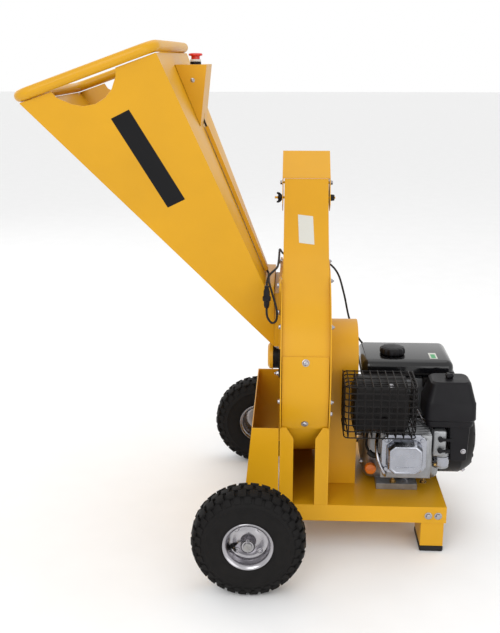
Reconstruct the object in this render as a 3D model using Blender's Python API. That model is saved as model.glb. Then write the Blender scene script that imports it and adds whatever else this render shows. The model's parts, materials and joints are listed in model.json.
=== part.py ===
"""Petrol wood chipper: disc drum, feed hopper, discharge chute, engine and two wheels.

Metres, +Z up. +X runs from the hopper to the engine, +Y from the near side to the far side.
The origin is on the floor under the middle of the machine.
"""
from math import asin, atan2, cos, hypot, pi, radians, sin, sqrt

import bmesh
import bpy
from mathutils import Matrix, Vector

# ---- driving dimensions -------------------------------------------------------------------
GAP = 0.0003                    # air between pieces that touch
AXLE_X = -0.02925               # wheel axle, measured from the origin
WHEEL_RADIUS = 0.1325
WHEEL_Y = 0.370                 # middle of each wheel
TYRE_WIDTH = 0.085
AXLE_RADIUS = 0.010

LINE_Y = 0.045                  # vertical plane of the drum, the belt and the engine
SHEET = 0.003                   # frame and housing plate
THIN_SHEET = 0.0025             # hopper and chute plate

TRAY_X = (AXLE_X + 0.066, AXLE_X + 0.488)
TRAY_Y = (LINE_Y - 0.225, LINE_Y + 0.225)
TRAY_Z = (0.081, 0.125)

SHAFT_Z = 0.445
CRANK_Z = 0.231
DRUM_RADIUS = 0.245             # outside of the drum wrap
LIP_RADIUS = 0.257              # edge of the side plates
HOUSING_X = (AXLE_X + 0.068, AXLE_X + 0.190)
HOUSING_MID = (HOUSING_X[0] + HOUSING_X[1]) / 2
WRAP_X = (HOUSING_X[0] + SHEET + GAP, HOUSING_X[1] - SHEET - GAP)
POST_TOP = 0.334
POST_FLANGE = 0.034
POST_CHAMFER = 0.031

CHUTE_LEAN = radians(52)        # lean of the chute where it leaves the drum
CHUTE_TOP_LEAN = radians(30)
CHUTE_STRAIGHT = 0.110
CHUTE_BEND = 0.677              # radius of the bend that straightens the chute
CHUTE_DEPTH = 0.115
COVER_FROM, COVER_TO = radians(-28), radians(17.5)
WRAP_FROM, WRAP_TO = radians(110), radians(336)

HOOD_LENGTH = 0.108
HOOD_LEAN = radians(55)
HINGE_DROP = 0.007              # hood's hinge below the chute's top edge, along the chute
CLAMP_DROP = 0.040              # clamp stud below the hood's hinge, along the chute

RIM_TUBE = 0.0135
MOUTH_LOW = (AXLE_X - 0.511, 1.126)
MOUTH_HIGH = (AXLE_X - 0.208, 1.233)
MOUTH_Y = -0.255
THROAT_X = AXLE_X + 0.050
THROAT_Z = (0.4965, 0.664)
LEDGE_X = AXLE_X + 0.027

ENGINE_X = AXLE_X + 0.285       # face of the engine's output side
FAN_X = (AXLE_X + 0.490, AXLE_X + 0.583)

# ---- colours: base colour, roughness, metallic ---------------------------------------------
YELLOW = ("yellow_paint", (0.80, 0.42, 0.03), 0.42, 0.0)
BLACK_PAINT = ("black_paint", (0.02, 0.02, 0.022), 0.45, 0.0)
BLACK_PLASTIC = ("black_plastic", (0.018, 0.018, 0.02), 0.5, 0.0)
RUBBER = ("black_rubber", (0.022, 0.022, 0.024), 0.85, 0.0)
TYRE = ("tyre", (0.020, 0.020, 0.021), 0.9, 0.0)
ZINC = ("zinc_plate", (0.62, 0.61, 0.58), 0.3, 1.0)
STEEL = ("bare_steel", (0.45, 0.45, 0.46), 0.38, 1.0)
CAST_ALUMINIUM = ("cast_aluminium", (0.55, 0.55, 0.54), 0.5, 1.0)
RED = ("red_plastic", (0.62, 0.03, 0.02), 0.35, 0.0)
ORANGE = ("orange_plastic", (0.80, 0.16, 0.03), 0.4, 0.0)


# ---- shape tools ---------------------------------------------------------------------------
def clear_scene():
    for obj in list(bpy.data.objects):
        bpy.data.objects.remove(obj, do_unlink=True)


def material(look):
    name, colour, roughness, metallic = look
    found = bpy.data.materials.get(name)
    if found:
        return found
    made = bpy.data.materials.new(name)
    made.use_nodes = True
    shader = made.node_tree.nodes["Principled BSDF"]
    shader.inputs["Base Color"].default_value = (*colour, 1.0)
    shader.inputs["Roughness"].default_value = roughness
    shader.inputs["Metallic"].default_value = metallic
    return made


def make_object(name, bm, look, origin=(0, 0, 0)):
    """Turn a bmesh in world metres into a named object whose origin is at `origin`."""
    bmesh.ops.recalc_face_normals(bm, faces=bm.faces)
    closed = all(edge.is_manifold for edge in bm.edges)
    if closed and bm.calc_volume(signed=True) < 0:
        bmesh.ops.reverse_faces(bm, faces=bm.faces)
    bmesh.ops.translate(bm, vec=-Vector(origin), verts=bm.verts)
    mesh = bpy.data.meshes.new(name)
    bm.to_mesh(mesh)
    bm.free()
    mesh.materials.append(material(look))
    mesh.shade_smooth()
    mesh.set_sharp_from_angle(angle=radians(35))
    obj = bpy.data.objects.new(name, mesh)
    obj.location = origin
    bpy.context.scene.collection.objects.link(obj)
    return obj


def rounded(obj, width, segments=2):
    bevel = obj.modifiers.new("rounding", "BEVEL")
    bevel.width = width
    bevel.segments = segments
    bevel.limit_method = "ANGLE"
    bevel.angle_limit = radians(40)
    return obj


def to_axis(axis):
    """Rotation that turns local (u, v, w) into the plane across `axis`, with w along it."""
    columns = {
        "X": (Vector((0, 1, 0)), Vector((0, 0, 1)), Vector((1, 0, 0))),
        "Y": (Vector((0, 0, 1)), Vector((1, 0, 0)), Vector((0, 1, 0))),
        "Z": (Vector((1, 0, 0)), Vector((0, 1, 0)), Vector((0, 0, 1))),
    }[axis]
    return Matrix(columns).transposed().to_4x4()


def prism(outline, span, axis="X"):
    """Extrude a closed outline of (u, v) points along an axis, between two stations."""
    bm = bmesh.new()
    bottom = [bm.verts.new((u, v, span[0])) for u, v in outline]
    face = bm.faces.new(bottom)
    made = bmesh.ops.extrude_face_region(bm, geom=[face])
    top = [item for item in made["geom"] if isinstance(item, bmesh.types.BMVert)]
    bmesh.ops.translate(bm, vec=(0, 0, span[1] - span[0]), verts=top)
    bm.transform(to_axis(axis))
    return bm


def box(low, high):
    bm = bmesh.new()
    size = Vector(high) - Vector(low)
    middle = (Vector(high) + Vector(low)) / 2
    matrix = Matrix.Translation(middle) @ Matrix.Diagonal((*size, 1.0))
    bmesh.ops.create_cube(bm, size=1.0, matrix=matrix)
    return bm


def lathe(profile, centre, axis, segments):
    """Turn a closed outline of (radius, station) points once round an axis through `centre`."""
    bm = bmesh.new()
    rings = []
    for radius, station in profile:
        if radius < 1e-6:
            rings.append([bm.verts.new((0, 0, station))] * segments)
            continue
        turn = [2 * pi * step / segments for step in range(segments)]
        rings.append([bm.verts.new((radius * cos(a), radius * sin(a), station)) for a in turn])
    for here, after in zip(rings, rings[1:] + rings[:1]):
        for step in range(segments):
            corners = [here[step], here[step - 1], after[step - 1], after[step]]
            unique = list(dict.fromkeys(corners))
            if len(unique) > 2:
                bm.faces.new(unique)
    bm.transform(Matrix.Translation(centre) @ to_axis(axis))
    return bm


def disc(radius, span, axis, across, segments=24):
    """Solid cylinder; `across` is the centre, given without the coordinate along the axis."""
    profile = [(0, span[0]), (radius, span[0]), (radius, span[1]), (0, span[1])]
    return lathe(profile, place(axis, across), axis, segments)


def ring(outer, inner, span, axis, across, segments=32):
    profile = [(inner, span[0]), (outer, span[0]), (outer, span[1]), (inner, span[1])]
    return lathe(profile, place(axis, across), axis, segments)


def place(axis, across):
    first, second = across
    return {"X": (0, first, second), "Y": (first, 0, second), "Z": (first, second, 0)}[axis]


def settle(obj):
    """Replace an object's mesh by its evaluated mesh and drop the modifiers."""
    graph = bpy.context.evaluated_depsgraph_get()
    mesh = bpy.data.meshes.new_from_object(obj.evaluated_get(graph))
    obj.modifiers.clear()
    obj.data = mesh
    obj.data.name = obj.name
    return obj


def combine(obj, bm, operation):
    """Add a bmesh to an object, or cut it away, with a boolean that is settled at once."""
    tool = make_object("tool", bm, YELLOW)
    boolean = obj.modifiers.new("boolean", "BOOLEAN")
    boolean.operation = operation
    boolean.object = tool
    settle(obj)
    bpy.data.objects.remove(tool, do_unlink=True)
    obj.data.set_sharp_from_angle(angle=radians(35))
    return obj


def add(obj, bm):
    return combine(obj, bm, "UNION")


def cut(obj, bm):
    return combine(obj, bm, "DIFFERENCE")


def sheet_shell(name, faces, thickness, look, origin=(0, 0, 0)):
    """A folded sheet: faces given as lists of points, thickened towards their inside."""
    bm = bmesh.new()
    for points in faces:
        bm.faces.new([bm.verts.new(point) for point in points])
    bmesh.ops.remove_doubles(bm, verts=bm.verts, dist=1e-6)
    obj = make_object(name, bm, look, origin)
    solid = obj.modifiers.new("thickness", "SOLIDIFY")
    solid.thickness = thickness
    solid.offset = -1
    solid.use_even_offset = True
    return settle(obj)


def arc(centre, radius, start, end, steps):
    """Points on a circle in the (Y, Z) plane; angle 0 is the near side, and it rises from there."""
    turn = [start + (end - start) * step / steps for step in range(steps + 1)]
    return [(centre[0] - radius * cos(a), centre[1] + radius * sin(a)) for a in turn]


def cable(name, points, radius, look, resolution=2, closed=False):
    """A round cable or tube along a polyline, with closed ends."""
    curve = bpy.data.curves.new(name, "CURVE")
    curve.dimensions = "3D"
    curve.bevel_depth = radius
    curve.bevel_resolution = resolution
    curve.use_fill_caps = not closed
    spline = curve.splines.new("POLY")
    spline.points.add(len(points) - 1)
    for point, co in zip(spline.points, points):
        point.co = (*co, 1.0)
    spline.use_cyclic_u = closed
    drawn = bpy.data.objects.new("drawn", curve)
    bpy.context.scene.collection.objects.link(drawn)
    graph = bpy.context.evaluated_depsgraph_get()
    mesh = bpy.data.meshes.new_from_object(drawn.evaluated_get(graph))
    bpy.data.objects.remove(drawn, do_unlink=True)
    bm = bmesh.new()
    bm.from_mesh(mesh)
    bmesh.ops.remove_doubles(bm, verts=bm.verts, dist=1e-6)
    return make_object(name, bm, look)


def smooth_route(knots, spacing):
    """Points about `spacing` apart on a Catmull-Rom curve through hand-placed knots."""
    knots = [Vector(knot) for knot in knots]
    padded = [2 * knots[0] - knots[1]] + knots + [2 * knots[-1] - knots[-2]]
    route = [knots[0]]
    for p0, p1, p2, p3 in zip(padded, padded[1:], padded[2:], padded[3:]):
        steps = max(2, round((p2 - p1).length / spacing))
        for step in range(1, steps + 1):
            t = step / steps
            linear = (p2 - p0) * t
            square = (2 * p0 - 5 * p1 + 4 * p2 - p3) * t * t
            cube = (3 * p1 - p0 - 3 * p2 + p3) * t ** 3
            route.append(p1 + (linear + square + cube) / 2)
    return route


# ---- running gear ---------------------------------------------------------------------------
def make_wheel(side_name, side):
    """Tyre and rim; `side` is -1 for the near wheel and +1 for the far one."""
    middle = WHEEL_Y * side
    centre = (AXLE_X, middle, WHEEL_RADIUS)
    half = TYRE_WIDTH / 2
    bead = 0.0520
    tyre = [
        (bead, -half + 0.009), (0.066, -half + 0.002), (0.088, -half), (0.110, -half + 0.003),
        (0.1255, -half + 0.011), (WHEEL_RADIUS, -half + 0.022), (WHEEL_RADIUS, half - 0.022),
        (0.1255, half - 0.011), (0.110, half - 0.003), (0.088, half), (0.066, half - 0.002),
        (bead, half - 0.009), (bead + 0.006, half - 0.014), (0.104, half - 0.009),
        (0.116, 0.014), (0.116, -0.014), (0.104, -half + 0.009), (bead + 0.006, -half + 0.014),
    ]
    make_object("tyre_" + side_name, lathe(tyre, centre, "Y", 48), TYRE, centre)
    lip, barrel, hub = 0.0590, bead - GAP, 0.0170
    inside = barrel - 0.0037
    bore = AXLE_RADIUS + GAP
    outer_half = [(bore, 0.036), (hub, 0.036), (hub, 0.008), (0.036, 0.005), (inside, 0.008),
                  (inside, 0.036), (0.0565, 0.0405), (lip, 0.0400), (lip, 0.0380), (barrel, 0.0335)]
    inner_half = [(barrel, -0.0335), (lip, -0.0380), (lip, -0.0400), (0.0565, -0.0405),
                  (inside, -0.036), (inside, 0.004), (0.036, 0.001), (hub, 0.004), (hub, -0.030),
                  (bore, -0.030)]
    rim = [(radius, side * station) for radius, station in outer_half + inner_half]
    make_object("rim_" + side_name, lathe(rim, centre, "Y", 32), ZINC, centre)


def make_axle():
    reach = WHEEL_Y + 0.0425
    make_object("axle", disc(AXLE_RADIUS, (-reach, reach), "Y", (AXLE_X, WHEEL_RADIUS)), STEEL)
    low, high = 0.102, 0.330
    left_low, left_high, right = AXLE_X - 0.0235, AXLE_X - 0.001, TRAY_X[0] - GAP
    near, far = TRAY_Y
    near_wing = [(right, near, low), (right, near, high), (left_high, near, high), (left_low, near, low)]
    far_wing = [(x, far, z) for x, _, z in near_wing]
    web = [near_wing[2], near_wing[3], far_wing[3], far_wing[2]]
    bracket = sheet_shell("axle_box", [near_wing, web, far_wing[::-1]], SHEET, YELLOW)
    hole = AXLE_RADIUS + GAP
    cut(bracket, disc(hole, (near - 0.02, far + 0.02), "Y", (AXLE_X, WHEEL_RADIUS)))


def make_base():
    tray = make_object("base_tray", box((TRAY_X[0], TRAY_Y[0], TRAY_Z[0]),
                                        (TRAY_X[1], TRAY_Y[1], TRAY_Z[1])), YELLOW)
    cut(tray, box((TRAY_X[0] + SHEET, TRAY_Y[0] + SHEET, TRAY_Z[0] - 0.01),
                  (TRAY_X[1] - SHEET, TRAY_Y[1] - SHEET, TRAY_Z[1] - SHEET)))
    pad_height = 0.0155
    leg_x = (AXLE_X + 0.4256, AXLE_X + 0.4832)
    leg_depth = 0.105
    starts = {"near": TRAY_Y[0] + SHEET + GAP, "far": TRAY_Y[1] - SHEET - GAP - leg_depth}
    for side_name, start in starts.items():
        low = (leg_x[0], start, pad_height + GAP)
        high = (leg_x[1], start + leg_depth, TRAY_Z[1] - SHEET - GAP)
        leg = make_object("support_leg_" + side_name, box(low, high), YELLOW)
        cut(leg, box((low[0] + SHEET, low[1] + SHEET, low[2] + SHEET),
                     (high[0] + 0.01, high[1] - SHEET, high[2] + 0.01)))
        pad = box((low[0] - 0.001, start - 0.001, 0.0),
                  (high[0] + 0.001, start + leg_depth + 0.001, pad_height))
        rounded(make_object("foot_pad_" + side_name, pad, RUBBER), 0.003, 1)


# ---- drum housing -----------------------------------------------------------------------------
SHAFT = (LINE_Y, SHAFT_Z)


def side_outline():
    """Side plate seen along X: the drum's disc on top of a stand that reaches the base."""
    foot = TRAY_Z[1] + GAP
    dip = asin((SHAFT_Z - POST_TOP) / LIP_RADIUS)
    rounded_part = arc(SHAFT, LIP_RADIUS, -dip, pi + dip, 56)
    return ([(TRAY_Y[0], foot), (TRAY_Y[0], POST_TOP - 0.004)] + rounded_part
            + [(TRAY_Y[1], POST_TOP - 0.004), (TRAY_Y[1], foot)])


def make_side_plate(name, plate_x, inward):
    plate = make_object(name, prism(side_outline(), plate_x), YELLOW)
    edge = plate_x[0] if inward > 0 else plate_x[1]
    root = edge + inward * SHEET / 2
    tip = edge + inward * POST_FLANGE
    foot = TRAY_Z[1] + GAP
    chamfered = [(root, foot), (tip, foot), (tip, POST_TOP - POST_CHAMFER),
                 (edge + inward * 0.016, POST_TOP - 0.001), (root, POST_TOP - 0.001)]
    outline = [(z, x) for x, z in chamfered]
    depth = 0.0028
    add(plate, prism(outline, (TRAY_Y[0] + 0.0001, TRAY_Y[0] + depth), "Y"))
    add(plate, prism(outline, (TRAY_Y[1] - depth, TRAY_Y[1] - 0.0001), "Y"))
    return plate


def make_housing():
    left = make_side_plate("side_plate_feed", (HOUSING_X[0], HOUSING_X[0] + SHEET), 1)
    right = make_side_plate("side_plate_drive", (HOUSING_X[1] - SHEET, HOUSING_X[1]), -1)
    throat = [(LINE_Y - 0.082, 0.503), (LINE_Y + 0.082, 0.503),
              (LINE_Y + 0.112, 0.640), (LINE_Y - 0.112, 0.640)]
    cut(left, prism(throat, (HOUSING_X[0] - 0.01, HOUSING_X[0] + 0.01)))
    for plate in (left, right):
        cut(plate, disc(0.016, (HOUSING_X[0] - 0.01, HOUSING_X[1] + 0.01), "X", SHAFT))

    outside = arc(SHAFT, DRUM_RADIUS, WRAP_FROM, WRAP_TO, 48)
    inside = arc(SHAFT, DRUM_RADIUS - SHEET, WRAP_TO, WRAP_FROM, 48)
    make_object("drum_wrap", prism(outside + inside, WRAP_X), YELLOW)

    cover_radius = DRUM_RADIUS + GAP
    outside = arc(SHAFT, cover_radius + SHEET, COVER_FROM, COVER_TO, 12)
    inside = arc(SHAFT, cover_radius, COVER_TO, COVER_FROM, 12)
    cover_x = (WRAP_X[0] + 0.001, WRAP_X[1] - 0.001)
    make_object("access_cover", prism(outside + inside, cover_x), YELLOW)

    bed = box((WRAP_X[0], LINE_Y - 0.086, 0.486), (HOUSING_X[0] + 0.0105, LINE_Y + 0.086, 0.5025))
    make_object("bed_knife", bed, STEEL)


def wall_point(travel, depth):
    """Point (Y, Z) `travel` along the chute's near wall and `depth` inside it.

    Travel is 0 where the wall leaves the drum: before that it lies on the drum's circle, after
    it the wall is straight, and then it bends up to its lean at the top.
    """
    bend = max(0.0, travel - CHUTE_STRAIGHT)
    lean = CHUTE_LEAN + min(0.0, travel) / DRUM_RADIUS - bend / CHUTE_BEND
    if travel <= 0:
        reach = DRUM_RADIUS - depth
        return (LINE_Y - reach * cos(lean), SHAFT_Z + reach * sin(lean))
    straight = min(travel, CHUTE_STRAIGHT)
    y = LINE_Y - DRUM_RADIUS * cos(CHUTE_LEAN) + straight * sin(CHUTE_LEAN)
    z = SHAFT_Z + DRUM_RADIUS * sin(CHUTE_LEAN) + straight * cos(CHUTE_LEAN)
    y += CHUTE_BEND * (cos(lean) - cos(CHUTE_LEAN)) + depth * cos(lean)
    z += CHUTE_BEND * (sin(CHUTE_LEAN) - sin(lean)) - depth * sin(lean)
    return (y, z)


def stations(start, end, count):
    return [start + (end - start) * step / count for step in range(count + 1)]


def far_wall_start():
    """Travel at which the far wall comes out of the drum's circle, by halving."""
    low, high = 0.0, CHUTE_END
    for _ in range(40):
        middle = (low + high) / 2
        y, z = wall_point(middle, CHUTE_DEPTH)
        if hypot(y - LINE_Y, z - SHAFT_Z) < DRUM_RADIUS + DRUM_CLEAR:
            low = middle
        else:
            high = middle
    return high


def drum_angle(point):
    return atan2(point[1] - SHAFT_Z, LINE_Y - point[0])


CHUTE_START = -DRUM_RADIUS * (CHUTE_LEAN - radians(14))
CHUTE_END = CHUTE_STRAIGHT + CHUTE_BEND * (CHUTE_LEAN - CHUTE_TOP_LEAN)
DRUM_CLEAR = 0.0006
CHUTE_TOP = wall_point(CHUTE_END, 0.0)
ALONG = (sin(CHUTE_TOP_LEAN), cos(CHUTE_TOP_LEAN))      # up the chute at its top, in (Y, Z)
ACROSS = (cos(CHUTE_TOP_LEAN), -sin(CHUTE_TOP_LEAN))    # from its near wall to its far wall
HINGE = (CHUTE_TOP[0] + 0.010 * ACROSS[0] - HINGE_DROP * ALONG[0],
         CHUTE_TOP[1] + 0.010 * ACROSS[1] - HINGE_DROP * ALONG[1])


def from_hinge(along, across):
    return (HINGE[0] + along * ALONG[0] + across * ACROSS[0],
            HINGE[1] + along * ALONG[1] + across * ACROSS[1])


CLAMP = from_hinge(-CLAMP_DROP, 0.006)
PIN_RADIUS = 0.0030


def make_chute():
    """Chute: a square duct over the drum, with its near wall carried down on the drum's circle."""
    wall = THIN_SHEET
    far_start = far_wall_start()
    side_start = sqrt((DRUM_RADIUS + DRUM_CLEAR) ** 2 - (DRUM_RADIUS - wall) ** 2)
    upper = stations(side_start, CHUTE_STRAIGHT, 2) + stations(CHUTE_STRAIGHT, CHUTE_END, 8)[1:]
    lower = stations(CHUTE_START, 0.0, 8) + [side_start]
    far = stations(far_start, CHUTE_END, 6)
    outer = [wall_point(s, 0.0) for s in lower + upper[1:]]
    outer += [wall_point(s, CHUTE_DEPTH) for s in reversed(far)]
    near_angle = drum_angle(wall_point(side_start, wall))
    far_angle = drum_angle(wall_point(far_start, CHUTE_DEPTH))
    outer += arc(SHAFT, DRUM_RADIUS + DRUM_CLEAR, far_angle, near_angle, 8)[1:-1]
    outer += [wall_point(s, wall) for s in reversed(lower)]
    chute = make_object("discharge_chute", prism(outer, WRAP_X), YELLOW)

    beyond, below = CHUTE_END + 0.02, 0.008
    inner = [wall_point(s, wall + 0.00005) for s in upper + [beyond]]
    inner += [wall_point(s, CHUTE_DEPTH - wall) for s in [beyond] + far[::-1]]
    inner += arc(SHAFT, DRUM_RADIUS - below, far_angle - 0.03, near_angle + 0.03, 8)
    cut(chute, prism(inner, (WRAP_X[0] + wall, WRAP_X[1] - wall)))
    studs = [(HINGE, HOUSING_X[0] - 0.0045, WRAP_X[0] + 0.001), (HINGE, WRAP_X[1] - 0.001, HOUSING_X[1] + 0.0045),
             (CLAMP, HOUSING_X[0] - 0.0220, WRAP_X[0] + 0.001), (CLAMP, WRAP_X[1] - 0.001, HOUSING_X[1] + 0.0150)]
    for centre, start, end in studs:
        add(chute, disc(PIN_RADIUS, (start, end), "X", centre, 12))


def make_hood():
    """Deflector hood: a plate over the outlet with an ear on each side of the chute."""
    near_edge = from_hinge(HINGE_DROP + 0.001, -0.012)
    tip = (near_edge[0] + HOOD_LENGTH * sin(HOOD_LEAN), near_edge[1] + HOOD_LENGTH * cos(HOOD_LEAN))
    normal = (cos(HOOD_LEAN), -sin(HOOD_LEAN))
    ear_x = (HOUSING_X[0] - 0.0022, HOUSING_X[1] + 0.0022)
    thick = 0.002
    plate = [near_edge, tip, (tip[0] + thick * normal[0], tip[1] + thick * normal[1]),
             (near_edge[0] + thick * normal[0], near_edge[1] + thick * normal[1])]
    hood = make_object("deflector_hood", prism(plate, ear_x), YELLOW, (HOUSING_MID, *HINGE))
    inner_edge = (near_edge[0] + 0.001 * normal[0], near_edge[1] + 0.001 * normal[1])
    inner_tip = (tip[0] + 0.001 * normal[0] - 0.001, tip[1] + 0.001 * normal[1])
    lower_tip = (inner_tip[0] + 0.030 * normal[0], inner_tip[1] + 0.030 * normal[1])
    ear = [inner_edge, inner_tip, lower_tip, from_hinge(-0.012, 0.088),
           from_hinge(-0.066, 0.036), from_hinge(-0.066, -0.010), from_hinge(-0.004, -0.012)]
    for start in (ear_x[0] + 0.0001, ear_x[1] - 0.0001 - thick):
        span = (start, start + thick)
        add(hood, prism(ear, span))
    through = (ear_x[0] - 0.01, ear_x[1] + 0.01)
    cut(hood, disc(PIN_RADIUS + 0.0005, through, "X", HINGE, 16))
    reach = hypot(CLAMP[0] - HINGE[0], CLAMP[1] - HINGE[1])
    rest = atan2(CLAMP[1] - HINGE[1], HINGE[0] - CLAMP[0])
    slack = PIN_RADIUS + 0.0008
    slot = (arc(HINGE, reach + slack, rest - HOOD_SLOT[0], rest + HOOD_SLOT[1], 10)
            + arc(HINGE, reach - slack, rest + HOOD_SLOT[1], rest - HOOD_SLOT[0], 10))
    cut(hood, prism(slot, through))


HOOD_SLOT = (radians(44), radians(22))


def make_clamps():
    bore = PIN_RADIUS + GAP
    left_face = HOUSING_X[0] - 0.0022 - 0.0006
    nut = make_object("wing_nut", ring(0.0075, bore, (left_face - 0.0110, left_face), "X", CLAMP, 16),
                      BLACK_PLASTIC, (left_face, *CLAMP))
    for side in (-1, 1):
        wing = [(CLAMP[0] - 0.0022, CLAMP[1] + side * 0.0055), (CLAMP[0] + 0.0022, CLAMP[1] + side * 0.0055),
                (CLAMP[0] + 0.0022, CLAMP[1] + side * 0.0145), (CLAMP[0] - 0.0022, CLAMP[1] + side * 0.0145)]
        add(nut, prism(wing, (left_face - 0.0150, left_face - 0.0040)))
    right_face = HOUSING_X[1] + 0.0022 + 0.0006
    hexagon = disc(0.0085, (right_face, right_face + 0.0100), "X", CLAMP, 6)
    clamp_nut = make_object("clamp_nut", hexagon, BLACK_PLASTIC, (right_face, *CLAMP))
    cut(clamp_nut, disc(bore, (right_face - 0.01, right_face + 0.02), "X", CLAMP, 16))


# ---- rotor and drive ------------------------------------------------------------------------
DISC_X = (HOUSING_X[0] + 0.020, HOUSING_X[0] + 0.030)
DISC_RADIUS = 0.225
SHAFT_RADIUS = 0.0125
PULLEY_X = (HOUSING_X[1] + 0.030, HOUSING_X[1] + 0.060)
CRANK = (LINE_Y, CRANK_Z)
CRANK_RADIUS = 0.0095
DRIVEN_GROOVE = 0.0660
DRIVE_GROOVE = 0.0396
BELT_THICK = 0.0080


def turned(points, centre, angle):
    """Turn (Y, Z) points about a centre, and set them there."""
    return [(centre[0] + y * cos(angle) - z * sin(angle), centre[1] + y * sin(angle) + z * cos(angle))
            for y, z in points]


def make_rotor():
    bore = SHAFT_RADIUS + GAP
    rotor = make_object("chipper_disc", ring(DISC_RADIUS, bore, DISC_X, "X", SHAFT, 48), STEEL,
                        (DISC_X[0], *SHAFT))
    turns = [radians(10), radians(190)]
    for angle in turns:
        window = turned([(0.090, 0.001), (0.205, 0.001), (0.205, 0.018), (0.090, 0.018)], SHAFT, angle)
        cut(rotor, prism(window, (DISC_X[0] - 0.01, DISC_X[1] + 0.01)))
    for count in range(4):
        blade = turned([(0.050, -0.003), (0.212, -0.003), (0.212, 0.003), (0.050, 0.003)],
                       SHAFT, radians(45 + 90 * count))
        add(rotor, prism(blade, (DISC_X[1] - 0.001, DISC_X[1] + 0.062)))
    add(rotor, ring(0.030, bore, (DISC_X[1] - 0.001, DISC_X[1] + 0.030), "X", SHAFT, 24))
    knife_x = (DISC_X[0] - GAP - 0.0080, DISC_X[0] - GAP)
    for count, angle in enumerate(turns):
        section = [(-0.044, knife_x[0]), (-0.010, knife_x[0]), (0.0, knife_x[1] - 0.0012),
                   (0.0, knife_x[1]), (-0.044, knife_x[1])]
        blade = prism(section, (0.085, 0.211), "Y")
        blade.transform(Matrix.Translation((0, *SHAFT)) @ Matrix.Rotation(angle, 4, "X"))
        make_object(f"knife_{count + 1}", blade, STEEL, (DISC_X[0], *SHAFT))
    make_object("rotor_shaft", disc(SHAFT_RADIUS, (HOUSING_X[0] - 0.030, PULLEY_X[1] + 0.006),
                                    "X", SHAFT), STEEL, (DISC_X[0], *SHAFT))


def make_bearings():
    bore = SHAFT_RADIUS + GAP
    spots = {
        "bearing_feed": (HOUSING_X[0] - GAP, -1),
        "bearing_drive": (HOUSING_X[1] + GAP, 1),
    }
    half = 0.0495
    for name, (face, outward) in spots.items():
        plate_x = sorted((face, face + outward * 0.0060))
        corner = 0.012
        outline = [(-half + corner, -half), (half - corner, -half), (half, -half + corner),
                   (half, half - corner), (half - corner, half), (-half + corner, half),
                   (-half, half - corner), (-half, -half + corner)]
        bearing = make_object(name, prism(turned(outline, SHAFT, 0.0), plate_x), BLACK_PAINT)
        hub_x = sorted((face + outward * 0.005, face + outward * 0.0210))
        add(bearing, disc(0.034, hub_x, "X", SHAFT, 28))
        cut(bearing, disc(bore, (face - 0.05, face + 0.05), "X", SHAFT))
    cap_face = HOUSING_X[0] - GAP - 0.0210 - GAP
    cap = [(0, cap_face - 0.0135), (0.028, cap_face - 0.0135), (0.0345, cap_face - 0.0085),
           (0.0360, cap_face), (0.0330, cap_face), (0.0315, cap_face - 0.0075),
           (0.0265, cap_face - 0.0110), (0, cap_face - 0.0110)]
    make_object("bearing_cap", lathe(cap, place("X", SHAFT), "X", 28), YELLOW)


def pulley_profile(bore, groove, rim):
    start, end = PULLEY_X
    web = 0.0032
    return [(bore, start), (rim, start), (rim, start + web), (groove, start + web + 0.002),
            (groove, end - web - 0.002), (rim, end - web), (rim, end), (bore, end)]


def belt_loop(grow):
    """Outline round both pulleys, `grow` outside their grooves; it has a fixed count of points."""
    big, small = DRIVEN_GROOVE + grow, DRIVE_GROOVE + grow
    tilt = asin((big - small) / (SHAFT_Z - CRANK_Z))
    return (arc(SHAFT, big, -tilt, pi + tilt, 24) + arc(CRANK, small, pi + tilt, 2 * pi - tilt, 16))


def make_drive():
    top = pulley_profile(SHAFT_RADIUS + GAP, DRIVEN_GROOVE, DRIVEN_GROOVE + 0.009)
    make_object("driven_pulley", lathe(top, place("X", SHAFT), "X", 32), STEEL, (DISC_X[0], *SHAFT))
    low = pulley_profile(CRANK_RADIUS + GAP, DRIVE_GROOVE, DRIVE_GROOVE + 0.009)
    make_object("clutch_pulley", lathe(low, place("X", CRANK), "X", 28), STEEL, (PULLEY_X[0], *CRANK))
    make_object("engine_crankshaft", disc(CRANK_RADIUS, (PULLEY_X[0] - 0.004, ENGINE_X + 0.015),
                                          "X", CRANK, 20), STEEL, (PULLEY_X[0], *CRANK))
    belt_x = (PULLEY_X[0] + 0.0056, PULLEY_X[1] - 0.0056)
    outer, inner = belt_loop(BELT_THICK + 0.0005), belt_loop(0.0005)
    belt = make_object("drive_belt", prism(outer, belt_x), RUBBER)
    cut(belt, prism(inner, (belt_x[0] - 0.01, belt_x[1] + 0.01)))


def make_belt_guard():
    radius = 0.100
    foot = TRAY_Z[1] + GAP
    open_x, closed_x = HOUSING_X[1] + GAP, AXLE_X + 0.266
    outline = [(LINE_Y - radius, foot)] + arc(SHAFT, radius, 0, pi, 24) + [(LINE_Y + radius, foot)]
    guard = make_object("belt_guard", prism(outline, (open_x, closed_x)), YELLOW)
    wall = 0.002
    inner = ([(LINE_Y - radius + wall, foot - 0.01)] + arc(SHAFT, radius - wall, 0, pi, 24)
             + [(LINE_Y + radius - wall, foot - 0.01)])
    cut(guard, prism(inner, (open_x - 0.01, closed_x - wall)))
    cut(guard, disc(0.018, (closed_x - 0.02, closed_x + 0.02), "X", CRANK))


# ---- feed hopper ------------------------------------------------------------------------------
def panel_y(x, z):
    """Near panel of the hopper as a plane: its Y at a station (x, z)."""
    first = Vector((MOUTH_HIGH[0] - MOUTH_LOW[0], 0, MOUTH_HIGH[1] - MOUTH_LOW[1]))
    second = Vector((LEDGE_X - MOUTH_LOW[0], LINE_Y - 0.130 - MOUTH_Y, THROAT_Z[1] - MOUTH_LOW[1]))
    normal = first.cross(second)
    return MOUTH_Y - (normal.x * (x - MOUTH_LOW[0]) + normal.z * (z - MOUTH_LOW[1])) / normal.y


def far_y(y):
    return 2 * LINE_Y - y


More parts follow.
